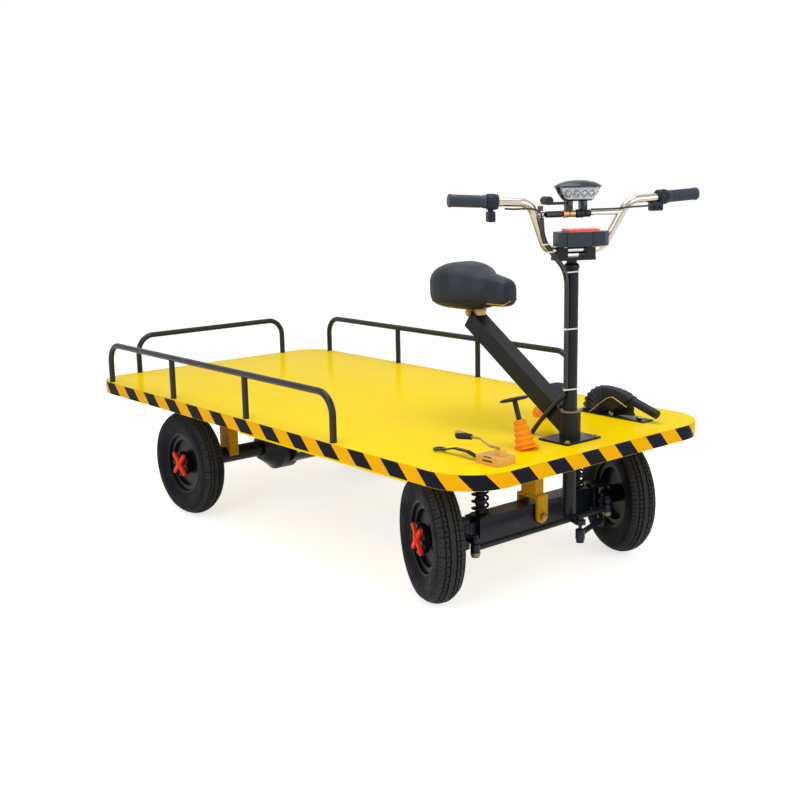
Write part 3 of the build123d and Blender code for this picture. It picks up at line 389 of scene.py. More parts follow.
def plate(outline: Sequence[Sequence[float]], depth: Vector, bevel: float) -> Shape:
    """A flat outline pulled along a vector, its rims rounded."""
    bm = bmesh.new()
    face = bm.faces.new([bm.verts.new(point) for point in outline])
    pulled = bmesh.ops.extrude_face_region(bm, geom=[face])
    verts = [item for item in pulled["geom"] if isinstance(item, bmesh.types.BMVert)]
    bmesh.ops.translate(bm, verts=verts, vec=depth)
    bmesh.ops.recalc_face_normals(bm, faces=bm.faces)
    along = depth.normalized()
    rims = [edge for edge in bm.edges if abs((edge.verts[0].co - edge.verts[1].co).dot(along)) < 1e-3]
    return rounded(bm, rims, bevel)


def smooth_path(points: Sequence[Sequence[float]], step: float) -> list[Vector]:
    """Points along a smooth curve through the given ones, about a step apart."""
    given = [Vector(point) for point in points]
    ends = [2 * given[0] - given[1], *given, 2 * given[-1] - given[-2]]
    path = [given[0]]
    for a, b, c, d in zip(ends, ends[1:], ends[2:], ends[3:]):
        count = max(2, round((c - b).length / step))
        for i in range(1, count + 1):
            t = i / count
            path.append(0.5 * (2 * b + (c - a) * t + (2 * a - 5 * b + 4 * c - d) * t ** 2
                               + (3 * b - a - 3 * c + d) * t ** 3))
    return path


def tube(path: Sequence[Sequence[float]], radius: float, steps: int = 8) -> Shape:
    """A round tube along a path, closed at both ends."""
    points = [Vector(point) for point in path]
    bm = bmesh.new()
    side = (points[1] - points[0]).orthogonal().normalized()
    before: list[bmesh.types.BMEdge] = []
    for i, point in enumerate(points):
        along = (points[min(i + 1, len(points) - 1)] - points[max(i - 1, 0)]).normalized()
        side = (side - along * side.dot(along)).normalized()
        turn = Matrix((side, along.cross(side), along)).transposed().to_4x4()
        ends = i in (0, len(points) - 1)
        ring = bmesh.ops.create_circle(bm, cap_ends=ends, segments=steps, radius=radius,
                                       matrix=Matrix.Translation(point) @ turn)["verts"]
        rim = list({edge for vert in ring for edge in vert.link_edges})
        if before:
            bmesh.ops.bridge_loops(bm, edges=before + rim)
        before = rim
    return bm


def loft(rings: Sequence[Sequence[Sequence[float]]], capped: bool = True) -> Shape:
    """Joins rings of as many points each into one skin.

    Args:
        rings: the rings, each a closed line of points.
        capped: whether the first and last ring are closed by a face.

    Returns:
        The skin.
    """
    bm = bmesh.new()
    before: list[bmesh.types.BMEdge] = []
    for i, ring in enumerate(rings):
        verts = [bm.verts.new(point) for point in ring]
        edges = [bm.edges.new(pair) for pair in zip(verts, [*verts[1:], verts[0]])]
        if capped and i in (0, len(rings) - 1):
            bm.faces.new(verts)
        if before:
            bmesh.ops.bridge_loops(bm, edges=before + edges)
        before = edges
    return bm


def oval(half_width: float, half_height: float, power: float, steps: int) -> list[tuple[float, float]]:
    """Points of a rounded outline that goes from an ellipse at power 2 to a box at high powers."""
    points = []
    for i in range(steps):
        angle = math.tau * i / steps
        c, s = math.cos(angle), math.sin(angle)
        points.append((half_width * math.copysign(abs(c) ** (2 / power), c),
                       half_height * math.copysign(abs(s) ** (2 / power), s)))
    return points


def bolt_heads(places: Iterable[Sequence[float]], up: Sequence[float], across: float, height: float,
               washer: float = 0.0) -> Shape:
    """Six-sided heads with chamfered tops, on washers where they are asked for.

    Args:
        places: the middle of each head's seat.
        up: the direction that the heads stand in.
        across: width over the corners.
        height: height of a head.
        washer: radius of the washer, or 0 for none.

    Returns:
        All heads as one shape.
    """
    rim, thick = across * 0.5, height * 0.25
    heads = []
    for place in places:
        head = ((0.0, height), (across * 0.36, height), (rim, height * 0.8), (rim, 0.0), (0.0, 0.0))
        parts = [lathe(head, 6)]
        if washer:
            parts.append(lathe(((0.0, thick), (washer, thick), (washer, 0.0), (0.0, 0.0)), 24))
        heads.append(moved(joined(parts), turned_to(up, place)))
    return joined(heads)


def belt(rounds: Sequence[tuple[tuple[float, float], float]], height: float) -> list[Vector]:
    """A closed line pulled tight round several circles, level at a height."""
    steps = 28
    points = [Vector((x + radius * math.cos(math.tau * i / steps), y + radius * math.sin(math.tau * i / steps)))
              for (x, y), radius in rounds for i in range(steps)]
    return [points[i].to_3d() + Vector((0, 0, height)) for i in convex_hull_2d(points)]


def ring_tube(line: Sequence[Vector], half_width: float, half_height: float) -> Shape:
    """A strap with rounded edges along a closed level line."""
    middle = sum(line, Vector()) / len(line)
    profile = oval(half_width, half_height, 3.0, 8)
    rings = [[point + (point - middle).normalized() * u + Vector((0, 0, v)) for u, v in profile]
             for point in line]
    return loft([*rings, rings[0]], capped=False)


@dataclass
class SteeringPlace:
    """Where the steering's own frame stands in the cart at rest."""

    column: tuple[float, float] = (839.262, 0.0)
    turn: float = math.radians(-22.5)

    def matrix(self) -> Matrix:
        """The steering's own frame as a matrix."""
        return Matrix.Translation((*self.column, 0)) @ Matrix.Rotation(self.turn, 4, "Z")


@dataclass
class HazardTape:
    """Black and orange striped tape round the skirt."""

    rear: float = -1013.738
    front: float = 961.262
    half_width: float = 500.0
    front_corner: float = 145.0
    rear_corner: float = 115.0
    low: float = 381.1
    high: float = 421.7
    proud: float = 0.4
    pitch: float = 143.3
    corner_steps: int = 16
    starts: tuple[float, ...] = (
        # where each black stripe begins along the band, from the rear of the right side
        -1070, -927, -793, -660, -510, -363, -220, -77, 62, 207.5, 352, 494, 634, 778, 903, 1044, 1180.5, 1293,
        1425, 1565, 1703, 1840, 1985,
    )
    black: Colour = (0.012, 0.014, 0.02)

    def outline(self) -> list[Point]:
        """Points round the deck with the distance along the band at each, from the rear of the right side."""
        corners = (
            # side in X, side in Y, first direction in degrees, radius
            (-1, -1, 180, self.rear_corner), (1, -1, 270, self.front_corner),
            (1, 1, 0, self.front_corner), (-1, 1, 90, self.rear_corner),
        )
        points = []
        for sx, sy, start, corner in corners:
            x = self.front - corner if sx > 0 else self.rear + corner
            centre = Vector((x, sy * (self.half_width - corner)))
            for i in range(self.corner_steps + 1):
                angle = math.radians(start + 90 * i / self.corner_steps)
                points.append(centre + (corner + self.proud) * Vector((math.cos(angle), math.sin(angle))))
        distance = points[self.corner_steps].x - self.rear_corner * math.pi / 2
        walked = [(points[0].x, points[0].y, distance)]
        for before, point in zip(points, [*points[1:], points[0]]):
            distance += (point - before).length
            walked.append((point.x, point.y, distance))
        return walked

    def stripes_at(self, distance: float) -> float:
        """How many black stripes have begun at a distance along the band."""
        for i, (low, high) in enumerate(zip(self.starts, self.starts[1:])):
            if distance < high:
                return i + (distance - low) / (high - low)
        return len(self.starts) - 1 + (distance - self.starts[-1]) / self.pitch

    def build(self, shop: Workshop) -> None:
        """Makes the tape as one band with its stripes on an attribute of its own."""
        bm = bmesh.new()
        counts = bm.verts.layers.float.new("stripes")
        before = None
        for x, y, distance in self.outline():
            pair = []
            for height in (self.low, self.high):
                vert = bm.verts.new((x, y, height))
                vert[counts] = self.stripes_at(distance) + (height - self.high) / self.pitch
                pair.append(vert)
            if before:
                bm.faces.new((before[0], pair[0], pair[1], before[1]))
            before = pair
        obj = shop.add("hazard_tape", bm, TAPE, "chassis", smooth=50.0)
        self.stripe(obj.active_material.node_tree)

    def stripe(self, tree: Tree) -> None:
        """Lays the stripes over the tape's colour: each begins at a whole count and is half a count wide."""
        part = arithmetic(tree, "FRACT", attribute(tree, "stripes"))
        blend(tree, TAPE.colour, self.black, arithmetic(tree, "LESS_THAN", part, 0.5))


@dataclass
class Tyres:
    """Tyres with a middle rib, staggered blocks with fine sipes, shoulder lugs and a pale bead line."""

    places: dict[str, Matrix]
    radius: float = 178.0
    half_tread: float = 35.0
    crown_drop: float = 14.0
    blocks: int = 41
    steps: int = 10
    zigzag: float = 2.0
    zigzag_within: float = 29.0
    bead_line: tuple[float, float] = (106.5, 108.5)  # radii between which the sidewall is pale
    tread_from: tuple[float, float] = (161.5, 37.0)  # least radius and greatest distance from the middle
    grooves: Outline = ((6.9, 10.6), (18.9, 21.6))
    groove_depth: float = 4.5
    cuts: tuple[tuple[float, float, int, float, float, float], ...] = (
        # nearest and farthest from the middle, cuts in a block, their shift and width in blocks, depth
        (10.6, 18.9, 1, 0.0, 0.09, 3.6), (10.6, 14.7, 1, 0.55, 0.1, 3.6), (21.6, 29.6, 1, 0.5, 0.09, 3.8),
        (30.7, 40.0, 2, 0.0, 0.19, 2.4),
    )
    walls: Outline = (
        # radius and distance from the middle, from the bead to the shoulder
        (101.3, 25.0), (103.0, 28.6), (106.0, 30.4), (106.8, 32.0), (108.2, 32.0), (109.0, 31.6), (114.0, 34.6),
        (122.0, 38.2), (132.0, 40.6), (143.0, 41.3), (152.0, 40.8), (158.0, 39.6), (161.0, 38.4),
    )
    rows: tuple[float, ...] = (
        36.8, 34.8, 31.6, 30.8, 29.5, 25.5, 22.1, 21.5, 19.0, 18.4, 14.6, 11.1, 10.5, 7.0, 6.4, 3.2,
    )

    def crown(self, across: float) -> float:
        """Radius of the tread's top at a distance from the middle."""
        return self.radius - self.crown_drop * (abs(across) / self.half_tread) ** 2.2

    def depth(self, across: float, turn: float) -> float:
        """How deep the tread is cut at a distance from the middle and a count of blocks round."""
        side = abs(across)
        if any(near < side < far for near, far in self.grooves):
            return self.groove_depth
        for near, far, times, shift, width, depth in self.cuts:
            if near < side < far and (times * turn + shift) % 1.0 < width:
                return depth
        return 0.0

    def shape(self) -> Shape:
        """One tyre about Z."""
        half = [*self.walls, *((self.crown(y), y) for y in self.rows)]
        profile = [*((r, -y) for r, y in half), (self.radius, 0.0), *reversed(half)]
        # spun and cut in metres: cuts begin right on a step of the spin, where the scale decides the rounding
        bm = lathe([(r * MM, y * MM) for r, y in profile], self.blocks * self.steps, closed=True, weld=1e-6)
        wear = bm.verts.layers.float.new("wear")
        for vert in bm.verts:
            radius, across = math.hypot(vert.co.x, vert.co.y) / MM, vert.co.z / MM
            turn = (math.atan2(vert.co.y, vert.co.x) / math.tau + 1.0) * self.blocks
            if self.bead_line[0] < radius < self.bead_line[1]:
                vert[wear] = 1.0
            if radius < self.tread_from[0] or abs(across) > self.tread_from[1]:
                continue
            turn += 0.5 if across > 0 else 0.0
            depth = self.depth(across, turn)
            vert.co.x *= 1 - depth / radius
            vert.co.y *= 1 - depth / radius
            if abs(across) < self.zigzag_within:
                vert.co.z -= self.zigzag * MM * (4 * abs(turn % 1.0 - 0.5) - 1) * (0.5 if across else 0.0)
            vert[wear] = 0.0 if depth else 1.0
        return moved(bm, Matrix.Diagonal((1 / MM, 1 / MM, 1 / MM, 1.0)))

    def build(self, shop: Workshop) -> None:
        """Makes one tyre for each wheel."""
        for wheel, place in self.places.items():
            obj = shop.add(f"tyre_{wheel}", moved(self.shape(), place), TYRE, f"wheel_{wheel}", smooth=28.0)
            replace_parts(obj, f"{wheel}_tyre")


@dataclass
class Hubs:
    """A black drum with a red four-armed plate on its end, a cap and four nuts between the arms."""

    places: dict[str, Matrix]
    top: float = 46.0
    drum_low: float = 14.0
    arm_reach: float = 50.0
    arm_width: float = 15.0
    arm_tip: float = 12.0
    arm_depth: float = 11.0
    arm_root: float = 12.0
    arm_corner: float = 4.0
    nut_circle: float = 37.0
    nut_seat: float = 34.5
    inner: tuple[tuple[str, float], ...] = (("front", -32.0), ("rear", -84.0))

    def cross(self) -> Shape:
        """The four-armed plate with rounded rims."""
        root, tip, reach, corner = self.arm_width / 2, self.arm_tip / 2, self.arm_reach, self.arm_corner
        arm = ((self.arm_root, -root), (reach - corner, -tip), (reach, -tip + corner),
               (reach, tip - corner), (reach - corner, tip), (self.arm_root, root))
        turns = [Matrix.Rotation(math.radians(45 + 90 * i), 3, "Z") for i in range(4)]
        outline = [turn @ Vector((x, y, self.top - self.arm_depth)) for turn in turns for x, y in arm]
        return plate(outline, Vector((0, 0, self.arm_depth)), bevel=1.6)

    def build(self, shop: Workshop) -> None:
        """Makes each wheel's hub."""
        low, top = self.drum_low, self.top
        for wheel, place in self.places.items():
            inner = dict(self.inner)[wheel.split("_")[0]]
            body = f"wheel_{wheel}"
            drum = lathe((
                (0.0, inner), (27.0, inner), (27.0, low), (40.0, low + 2), (41.0, low + 5), (41.0, 32.0),
                (38.5, 34.8), (0.0, 34.8)), 40)
            obj = shop.add(f"hub_drum_{wheel}", moved(drum, place), RIM_PAINT, body)
            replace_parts(obj, f"{wheel}_hub")
            cap = lathe(((0.0, top + 4), (9.5, top + 4), (12.5, top + 2.4), (13.0, top - 1)), 32)
            shop.add(f"hub_cross_{wheel}", moved(joined([self.cross(), cap]), place), HUB_RED, body)
            seats = [(self.nut_circle * x, self.nut_circle * y, self.nut_seat)
                     for x, y in ((1, 0), (0, 1), (-1, 0), (0, -1))]
            nuts = bolt_heads(seats, (0, 0, 1), 13, 7, 8.5)
            shop.add(f"hub_nuts_{wheel}", moved(nuts, place), BEAM_PAINT, body)


@dataclass
class CarriedNodes:
    """Gives the frame's own nodes their finishes."""

    smooth: float = 32.0  # sharpest smooth edge in degrees

    def build(self, shop: Workshop) -> None:
        """Paints each node."""
        for finish, nodes in (*NODE_FINISHES, (RIM_PAINT, tuple(f"{wheel}_rim" for wheel in WHEELS))):
            for name in nodes:
                self.paint(shop, name, finish)

    def paint(self, shop: Workshop, name: str, finish: Finish) -> None:
        """Puts one material on one node."""
        obj = shop.frame["nodes"][name]
        obj.data.materials.clear()
        obj.data.materials.append(shop.palette.get(finish))
        obj.data.shade_smooth()
        obj.data.set_sharp_from_angle(angle=math.radians(self.smooth))
        LOG.info("node %s: %s", name, finish.name)


@dataclass
class Saddle:
    """Padded saddle with a seam across its back, piping round its lower edge, its nose's trim and its clamp."""

    rear: float = 352.0
    base: float = 760.0
    sections: tuple[tuple[float, float, float, float], ...] = (
        # distance from the back, half width, lowest and highest point over the base
        (1, 58, 12, 88), (6, 74, 2, 102), (18, 88, -6, 114), (42, 95, -8, 123), (72, 98, -8, 126),
        (104, 93, -8, 122), (134, 79, -7, 115), (164, 58, 0, 102), (194, 43, 10, 92), (222, 38, 9, 88),
        (246, 34, 8, 85), (260, 28, 10, 79), (268, 18, 18, 68),
    )
    voxel: float = 5.0
    most_swell: float = 4.0
    pressure: float = 4.0
    swell_frames: int = 20
    edge_share: float = 0.97  # how far out the lower piping lies on each section
    edge_lift: float = 14.0
    # the back's seam and the nose's trim, as distance from the back, from the middle and over the base
    back: Line = tuple((20 + 10 * abs(t), 80 * t, 104 - 44 * t * t) for t in
                       (-0.95, -0.75, -0.5, -0.25, 0.0, 0.25, 0.5, 0.75, 0.95))
    nose: Line = ((196, 30, 12), (222, 28, 13), (244, 26, 12), (258, 20, 16), (266, 8, 26))

    def core(self) -> Shape:
        """The pad before it swells."""
        rings = []
        for distance, half, low, top in self.sections:
            middle, height = (low + top) / 2, (top - low) / 2
            rings.append([(self.rear + distance, y, self.base + middle + z)
                          for y, z in oval(half, height, 3.0, 36)])
        return loft(rings)

    def swell(self, pad: bpy.types.Object) -> None:
        """Fills the pad with the cloth solver and keeps every point near where it began."""
        remesh = pad.modifiers.new("remesh", "REMESH")
        remesh.mode = "VOXEL"
        remesh.voxel_size = self.voxel * MM
        self.apply(pad)
        before = [vert.co.copy() for vert in pad.data.vertices]
        cloth = pad.modifiers.new("cloth", "CLOTH")
        cloth.settings.use_pressure = True
        cloth.settings.uniform_pressure_force = self.pressure
        cloth.settings.effector_weights.gravity = 0.0
        for step in range(1, self.swell_frames + 1):
            bpy.context.scene.frame_set(step)
        self.apply(pad)
        bpy.context.scene.frame_set(1)
        for vert, start in zip(pad.data.vertices, before):
            shift = vert.co - start
            if shift.length > self.most_swell * MM:
                vert.co = start + shift.normalized() * self.most_swell * MM
        finer = pad.modifiers.new("finer", "SUBSURF")
        finer.levels = finer.render_levels = 1
        self.apply(pad)

    def apply(self, pad: bpy.types.Object) -> None:
        """Makes the modifiers' result the pad's own mesh."""
        graph = bpy.context.evaluated_depsgraph_get()
        mesh = bpy.data.meshes.new_from_object(pad.evaluated_get(graph))
        pad.modifiers.clear()
        pad.data = mesh
        mesh.shade_smooth()

    def on_pad(self, pad: bpy.types.Object, points: Sequence[Sequence[float]], lift: float) -> list[Vector]:
        """Drops points onto the pad's skin, or a little over it."""
        placed = []
        for point in points:
            _, place, normal, _ = pad.closest_point_on_mesh(Vector(point) * MM)
            placed.append(place / MM + normal * lift)
        return placed

    def build(self, shop: Workshop) -> None:
        """Makes the pad, its seams and its clamp."""
        pad = shop.add("saddle_pad", self.core(), VINYL, None, smooth=60.0)
        self.swell(pad)
        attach(pad, "chassis")
        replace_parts(pad, "saddle")
        rim = [(self.rear + distance, side * half * self.edge_share, self.base + low + self.edge_lift)
               for side, rows in ((1, self.sections), (-1, tuple(reversed(self.sections))))
               for distance, half, low, _ in rows]
        lower = self.on_pad(pad, smooth_path([*rim, rim[0]], 8), 0.2)
        shop.add("saddle_piping", tube(lower, 1.8), VINYL, "chassis")
        back = [(self.rear + distance, across, self.base + height) for distance, across, height in self.back]
        welt = self.on_pad(pad, smooth_path(back, 6), 0.2)
        shop.add("saddle_back_seam", tube(welt, 1.5), VINYL, "chassis")
        nose = self.on_pad(pad, [(self.rear + x, -y, self.base + z) for x, y, z in self.nose], 0.5)
        shop.add("saddle_nose_trim", tube(smooth_path(nose, 6), 1.6), PIPING, "chassis")
        ends = [bolt_heads([(473, side * 30, 741)], (0, side, 0), 15, 8, 10) for side in (-1, 1)]
        clamp = joined([
            brick((446, -17, 733), (500, 17, 751), 3), rod((473, -30, 741), (473, 30, 741), 5), *ends])
        shop.add("saddle_clamp_bolt", clamp, BRASS, "chassis")


@dataclass
class BrakeGaiter:
    """Pleated boot of the hand brake with a ring at each end, and the wire beside it."""

    pivot: Point = (716.0, 320.0, 425.0)
    half_width: float = 20.0
    pleats: int = 13
    deep_pleat: float = 2.4
    shallow_pleat: float = 0.6
    deep_share: float = 0.55  # how much of the boot has deep pleats, from its rear
    outline: Outline = (
        # direction in degrees and reach from the pivot
        (179, 99), (165, 102), (150, 101), (130, 96), (110, 90), (95, 86), (80, 86), (65, 90), (50, 99),
        (36, 108),
    )
    tongue: Outline = (
        # direction in degrees and swell
        (34, -14), (26, -18), (20, -14), (13, -18), (6, -14),
    )
    wire: Line = ((655, 297, 427), (700, 296, 462), (736, 296, 483), (764, 297, 474), (793, 300, 460))

    def reach(self, angle: float) -> float:
        """The boot's reach in a direction."""
        for (high, far), (low, near) in zip(self.outline, self.outline[1:]):
            if angle >= low:
                return near + (far - near) * (angle - low) / (high - low)
        return self.outline[-1][1]

    def ring(self, angle: float, swell: float, low: float = 12.0) -> list[Vector]:
        """One rounded cross-section, standing out from the pivot."""
        reach = self.reach(angle) + swell
        middle, half = (low + reach) / 2, (reach - low) / 2
        out = Vector((math.cos(math.radians(angle)), 0, math.sin(math.radians(angle))))
        return [Vector(self.pivot) + out * (middle + u) + Vector((0, v, 0))
                for u, v in oval(half, self.half_width + swell, 3.5, 28)]

    def build(self, shop: Workshop) -> None:
        """Makes the boot, its rings and the lever's wire."""
        first, last, count = self.outline[0][0], self.outline[-1][0], 4 * self.pleats
        rings = []
        for i in range(count + 1):
            deep = self.deep_pleat if i < self.deep_share * count else self.shallow_pleat
            swell = -deep * (1 - math.cos(math.tau * i / 4)) if i % 4 else 0.0
            rings.append(self.ring(first + (last - first) * i / count, swell))
        tongue = [self.ring(angle, swell) for angle, swell in self.tongue]
        obj = shop.add("brake_gaiter", joined([loft(rings), loft(tongue)]), PLEATED, "chassis", smooth=40.0)
        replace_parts(obj, "hand_brake_gaiter")
        cap = loft([self.ring(first, 1.0, 4.0), self.ring(first - 3.5, 1.0, 4.0)])
        mouth = loft([self.ring(last + 1.5, 1.0, 50.0), self.ring(last - 1.5, 1.0, 50.0)])
        shop.add("brake_gaiter_rings", joined([cap, mouth]), BLACK_PLASTIC, "chassis")
        shop.add("brake_wire", tube(smooth_path(self.wire, 8), 1.8), BRASS, "chassis")


@dataclass
class BarControls:
    """Ribbed grips, throttle and switch cluster."""

    place: Matrix
    bar_end: Point = (24.5, 352.0, 1075.5)
    bar_bend: Point = (45.0, 140.0, 1064.5)
    grooves: int = 12
    groove_from: float = 8.0
    groove_pitch: float = 6.2
    throttle: Outline = (
        (11.2, 96.0), (18.0, 96.0), (20.2, 98.5), (20.6, 104.0), (20.6, 118.0), (19.2, 122.0), (19.2, 125.0),
        (11.2, 125.5),
    )
    switches: Outline = (
        (11.2, 96.0), (18.6, 96.0), (20.0, 98.0), (20.0, 106.0), (18.4, 107.0), (18.4, 109.0), (20.0, 110.0),
        (20.0, 120.0), (18.4, 122.5), (11.2, 123.0),
    )

    def on_bar(self, side: int) -> Matrix:
        """A place at the bar's end with Z pointing inwards along it."""
        mirror = Matrix.Diagonal((1, side, 1))
        end, bend = mirror @ Vector(self.bar_end), mirror @ Vector(self.bar_bend)
        return self.place @ turned_to((bend - end).normalized(), end)

    def grip(self) -> Shape:
        """A grip with shallow grooves and flared ends."""
        profile = [(0.0, -4.0), (13.5, -4.0), (16.6, -2.5), (17.0, 0.5), (16.8, 4.0), (15.2, 6.0)]
        for i in range(self.grooves):
            low = self.groove_from + self.groove_pitch * i
            profile += [(15.7, low), (15.9, low + 3.6), (14.9, low + 4.2), (14.9, low + 5.4)]
        profile += [(15.4, 84.0), (17.0, 88.0), (17.2, 93.0), (16.0, 95.0), (11.2, 95.0)]
        return lathe(profile, 40)

    def control(self, profile: Outline, side: int, blocks: Sequence[Shape]) -> Shape:
        """A turned ring on the bar with the blocks beside it."""
        return joined([moved(lathe(profile, 40), self.on_bar(side)), moved(joined(blocks), self.place)])

    def build(self, shop: Workshop) -> None:
        """Makes both sides."""
        grips = shop.add("bar_grips", joined(moved(self.grip(), self.on_bar(side)) for side in (-1, 1)), GRIP,
                         "steering", smooth=25.0)
        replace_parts(grips, "grips")
        throttle = self.control(self.throttle, -1, [
            brick((21, -254, 1019), (46, -235, 1046), 3.5, 3), brick((27, -251, 1038), (41, -239, 1058), 2)])
        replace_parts(shop.add("throttle_drum", throttle, BLACK_PLASTIC, "steering"), "throttle_housing")
        cluster = self.control(self.switches, 1, [
            brick((22, 210, 1034), (48, 244, 1060), 4, 3), brick((46, 216, 1040), (51, 226, 1050), 1.5),
            brick((46, 230, 1040), (51, 239, 1050), 1.5)])
        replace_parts(shop.add("switch_ring", cluster, BLACK_PLASTIC, "steering"), "switch_cluster")


@dataclass
class Lamp:
    """Domed lamp on two feet, with a clear window and four diodes on a silver reflector."""

    place: Matrix
    centre: tuple[float, float] = (43.5, -6.0)
    roundness: float = 2.3  # power of the dome's level outlines
    sweep: float = 160.0  # how far the window reaches round the front, in degrees
    sweep_steps: int = 36
    diodes: tuple[float, ...] = (-41.1, -19.9, 1.0, 20.6)
    diode_reach: float = 24.0
    diode_half_width: float = 55.4
    diode_height: float = 1086.0
    diode_inset: float = 0.4
    diode_spread: float = 1.05  # how much wider the diodes stand than their curve's places
    diode_dip: float = 0.12  # how far they face down for each step forward
    levels: tuple[tuple[float, float, float, float], ...] = (
        # height, half depth, half width, how far the front is set back
        (1066, 17, 34, 0), (1067.5, 22, 40, 0), (1070.5, 24, 43, 0), (1071.5, 24.5, 44, 7),
        (1086, 29.5, 55, 7), (1100, 32, 62, 7), (1101.5, 33.5, 64.5, 0), (1104.5, 33.5, 65, 0),
        (1109, 29, 58, 0), (1113.5, 22.5, 47, 0), (1117.5, 13, 30, 0), (1119.2, 5, 14, 0),
    )
    window: Line = (
        # height, half depth, half width
        (1070.8, 24.4, 43.4), (1078, 27.2, 49.6), (1086, 29.8, 55.4), (1094, 31.4, 59.6), (1101.8, 32.6, 63),
    )

    def ring(self, height: float, depth: float, width: float, back: float) -> list[Point]:
        """One level outline of the dome."""
        e, s = self.centre
        return [(e + (x if x < 0 else x * (1 - back / depth)), s + y, height)
                for x, y in oval(depth, width, self.roundness, 56)]

    def front(self, inset: float) -> Shape:
        """A strip that follows the window round the dome's front."""
        e, s = self.centre
        bm = bmesh.new()
        before: list[bmesh.types.BMVert] = []
        power = 2 / self.roundness
        for i in range(self.sweep_steps + 1):
            angle = math.radians(-self.sweep / 2 + self.sweep * i / self.sweep_steps)
            c, d = math.cos(angle), math.sin(angle)
            column = [bm.verts.new((e + (depth - inset) * c ** power,
                                    s + (width - inset / 3) * math.copysign(abs(d) ** power, d), height))
                      for height, depth, width in self.window]
            for low, high, next_low, next_high in zip(before, before[1:], column, column[1:]):
                bm.faces.new((low, next_low, next_high, high))
            before = column
        return bm

    def facing(self, s: float) -> Matrix:
        """Where a diode sits on the reflector's curve, turned to the front and a little down."""
        share = min(abs(s - self.centre[1]) / self.diode_half_width, 0.99)
        x = self.diode_reach * (1 - share ** self.roundness) ** (1 / self.roundness)
        place = (self.centre[0] + x - self.diode_inset, s * self.diode_spread, self.diode_height)
        return turned_to((1, 0, -self.diode_dip), place)

    def build(self, shop: Workshop) -> None:
        """Makes the lamp."""
        dome = loft([self.ring(*level) for level in self.levels])
        feet = [brick((33, s - 8, 1043), (57, s + 8, 1068), 2) for s in (-33, 8)]
        body = moved(joined([dome, *feet]), self.place)
        obj = shop.add("lamp_dome", body, GLOSS_PLASTIC, "steering", smooth=40.0)
        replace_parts(obj, "headlamp")
        shop.add("lamp_reflector", moved(self.front(6.0), self.place), REFLECTOR, "steering")
        for name, profile, steps, finish in (
            ("lamp_cups", ((5.0, 0.0), (8.6, 2.6), (9.4, 2.2), (9.4, 0.0)), 28, CUP),
            ("lamp_diodes", ((0.0, 2.6), (2.6, 2.0), (4.2, 0.0), (0.0, -0.5)), 20, DIODE),
        ):
            rounds = joined(moved(lathe(profile, steps), self.facing(s)) for s in self.diodes)
            shop.add(name, moved(rounds, self.place), finish, "steering")
        lens = self.front(0.0)
        bmesh.ops.solidify(lens, geom=lens.faces[:], thickness=1.4)
        glass = shop.add("lamp_window", moved(lens, self.place), LENS, "steering")
        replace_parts(glass, "headlamp_lens")


@dataclass
class SteeringTrim:
    """Ties, clamps, seams, tag and collar that turn with the handlebar."""

    place: Matrix
    column_radius: float = 19.0
    cables_radius: float = 7.2
    tie_gap: float = 0.6  # between the column and the middle of the strap
    ties: Line = (
        # where the cables are beside the column, and the tie's height
        (25.5, -30.5, 881.0), (14.99, -20.63, 729.0), (14.99, -20.63, 565.0),
    )
    cable_ties: Line = ((46.2, -98.0, 958.0), (47.0, -84.0, 938.0))
    crossbar: tuple[float, float] = (47.6, 1034.0)
    collar: Outline = (
        (14.2, 903.0), (17.0, 902.0), (20.6, 897.6), (21.2, 893.0), (20.6, 888.0), (19.1, 887.0),
    )

    def straps(self) -> Shape:
        """White ties round the column and the cables on it, each with its lock and a cut end."""
        parts = []
        for x, y, height in self.ties:
            line = belt([((0.0, 0.0), self.column_radius + self.tie_gap), ((x, y), self.cables_radius)], height)
            parts.append(ring_tube(line, 0.7, 1.9))
            parts.append(brick((x + 4, y - 9, height - 2.6), (x + 8, y - 4, height + 2.6), 0.6))
            parts.append(rod((x + 6, y - 7, height), (x + 17, y - 12, height + 5), 0.8, 8))
        return joined(parts)

    def wrap(self, x: float, y: float, height: float) -> Shape:
        """A round tie about a cable."""
        radius, steps = 8.5, 20
        line = [Vector((x + radius * math.cos(a), y + radius * math.sin(a), height))
                for a in (math.tau * i / steps for i in range(steps))]
        return ring_tube(line, 0.7, 1.8)

    def sleeve(self, low: float, high: float, radius: float) -> Shape:
        """A sleeve on the crossbar between two places along it."""
        span, bore, rim = high - low, 6.6, radius - 1.5
        profile = ((bore, 0.0), (rim, 0.0), (radius, 1.5), (radius, span - 1.5), (rim, span), (bore, span))
        return moved(lathe(profile, 28), turned_to((0, 1, 0), (self.crossbar[0], low, self.crossbar[1])))

    def build(self, shop: Workshop) -> None:
        """Makes each of them."""
        for name, parts, finish in (
            ("column_ties", [self.straps()], TIE_WHITE),
            ("cable_ties", [self.wrap(*middle) for middle in self.cable_ties], TIE_WHITE),
            ("column_collar", [lathe(self.collar, 36)], BLACK_PAINT),
            ("crossbar_wrap", [self.sleeve(-98, -53, 8.4)], CABLE),
            ("pod_seams", [brick((97.2, s - 0.8, 953), (98.9, s + 0.8, 988), 0.3) for s in (-62.0, 13.0)],
             BLACK_PLASTIC),
            ("crossbar_clamp", [self.sleeve(-50, -34, 10.0), self.sleeve(-32, -16, 9.0)], BRASS),
            ("crossbar_block", [self.sleeve(-13, 8, 11.0), self.sleeve(10, 28, 9.5)], BLACK_PLASTIC),
            ("lock_tag", [brick((36, -116, 1043), (39, -101, 1056), 0.8)], TAG_RED),
            ("bar_cap_screws", [bolt_heads([(45, -40, 952.2), (45, 40, 952.2)], (0, 0, -1), 10, 6)], STEEL),
        ):
            shop.add(name, moved(joined(parts), self.place), finish, "steering")


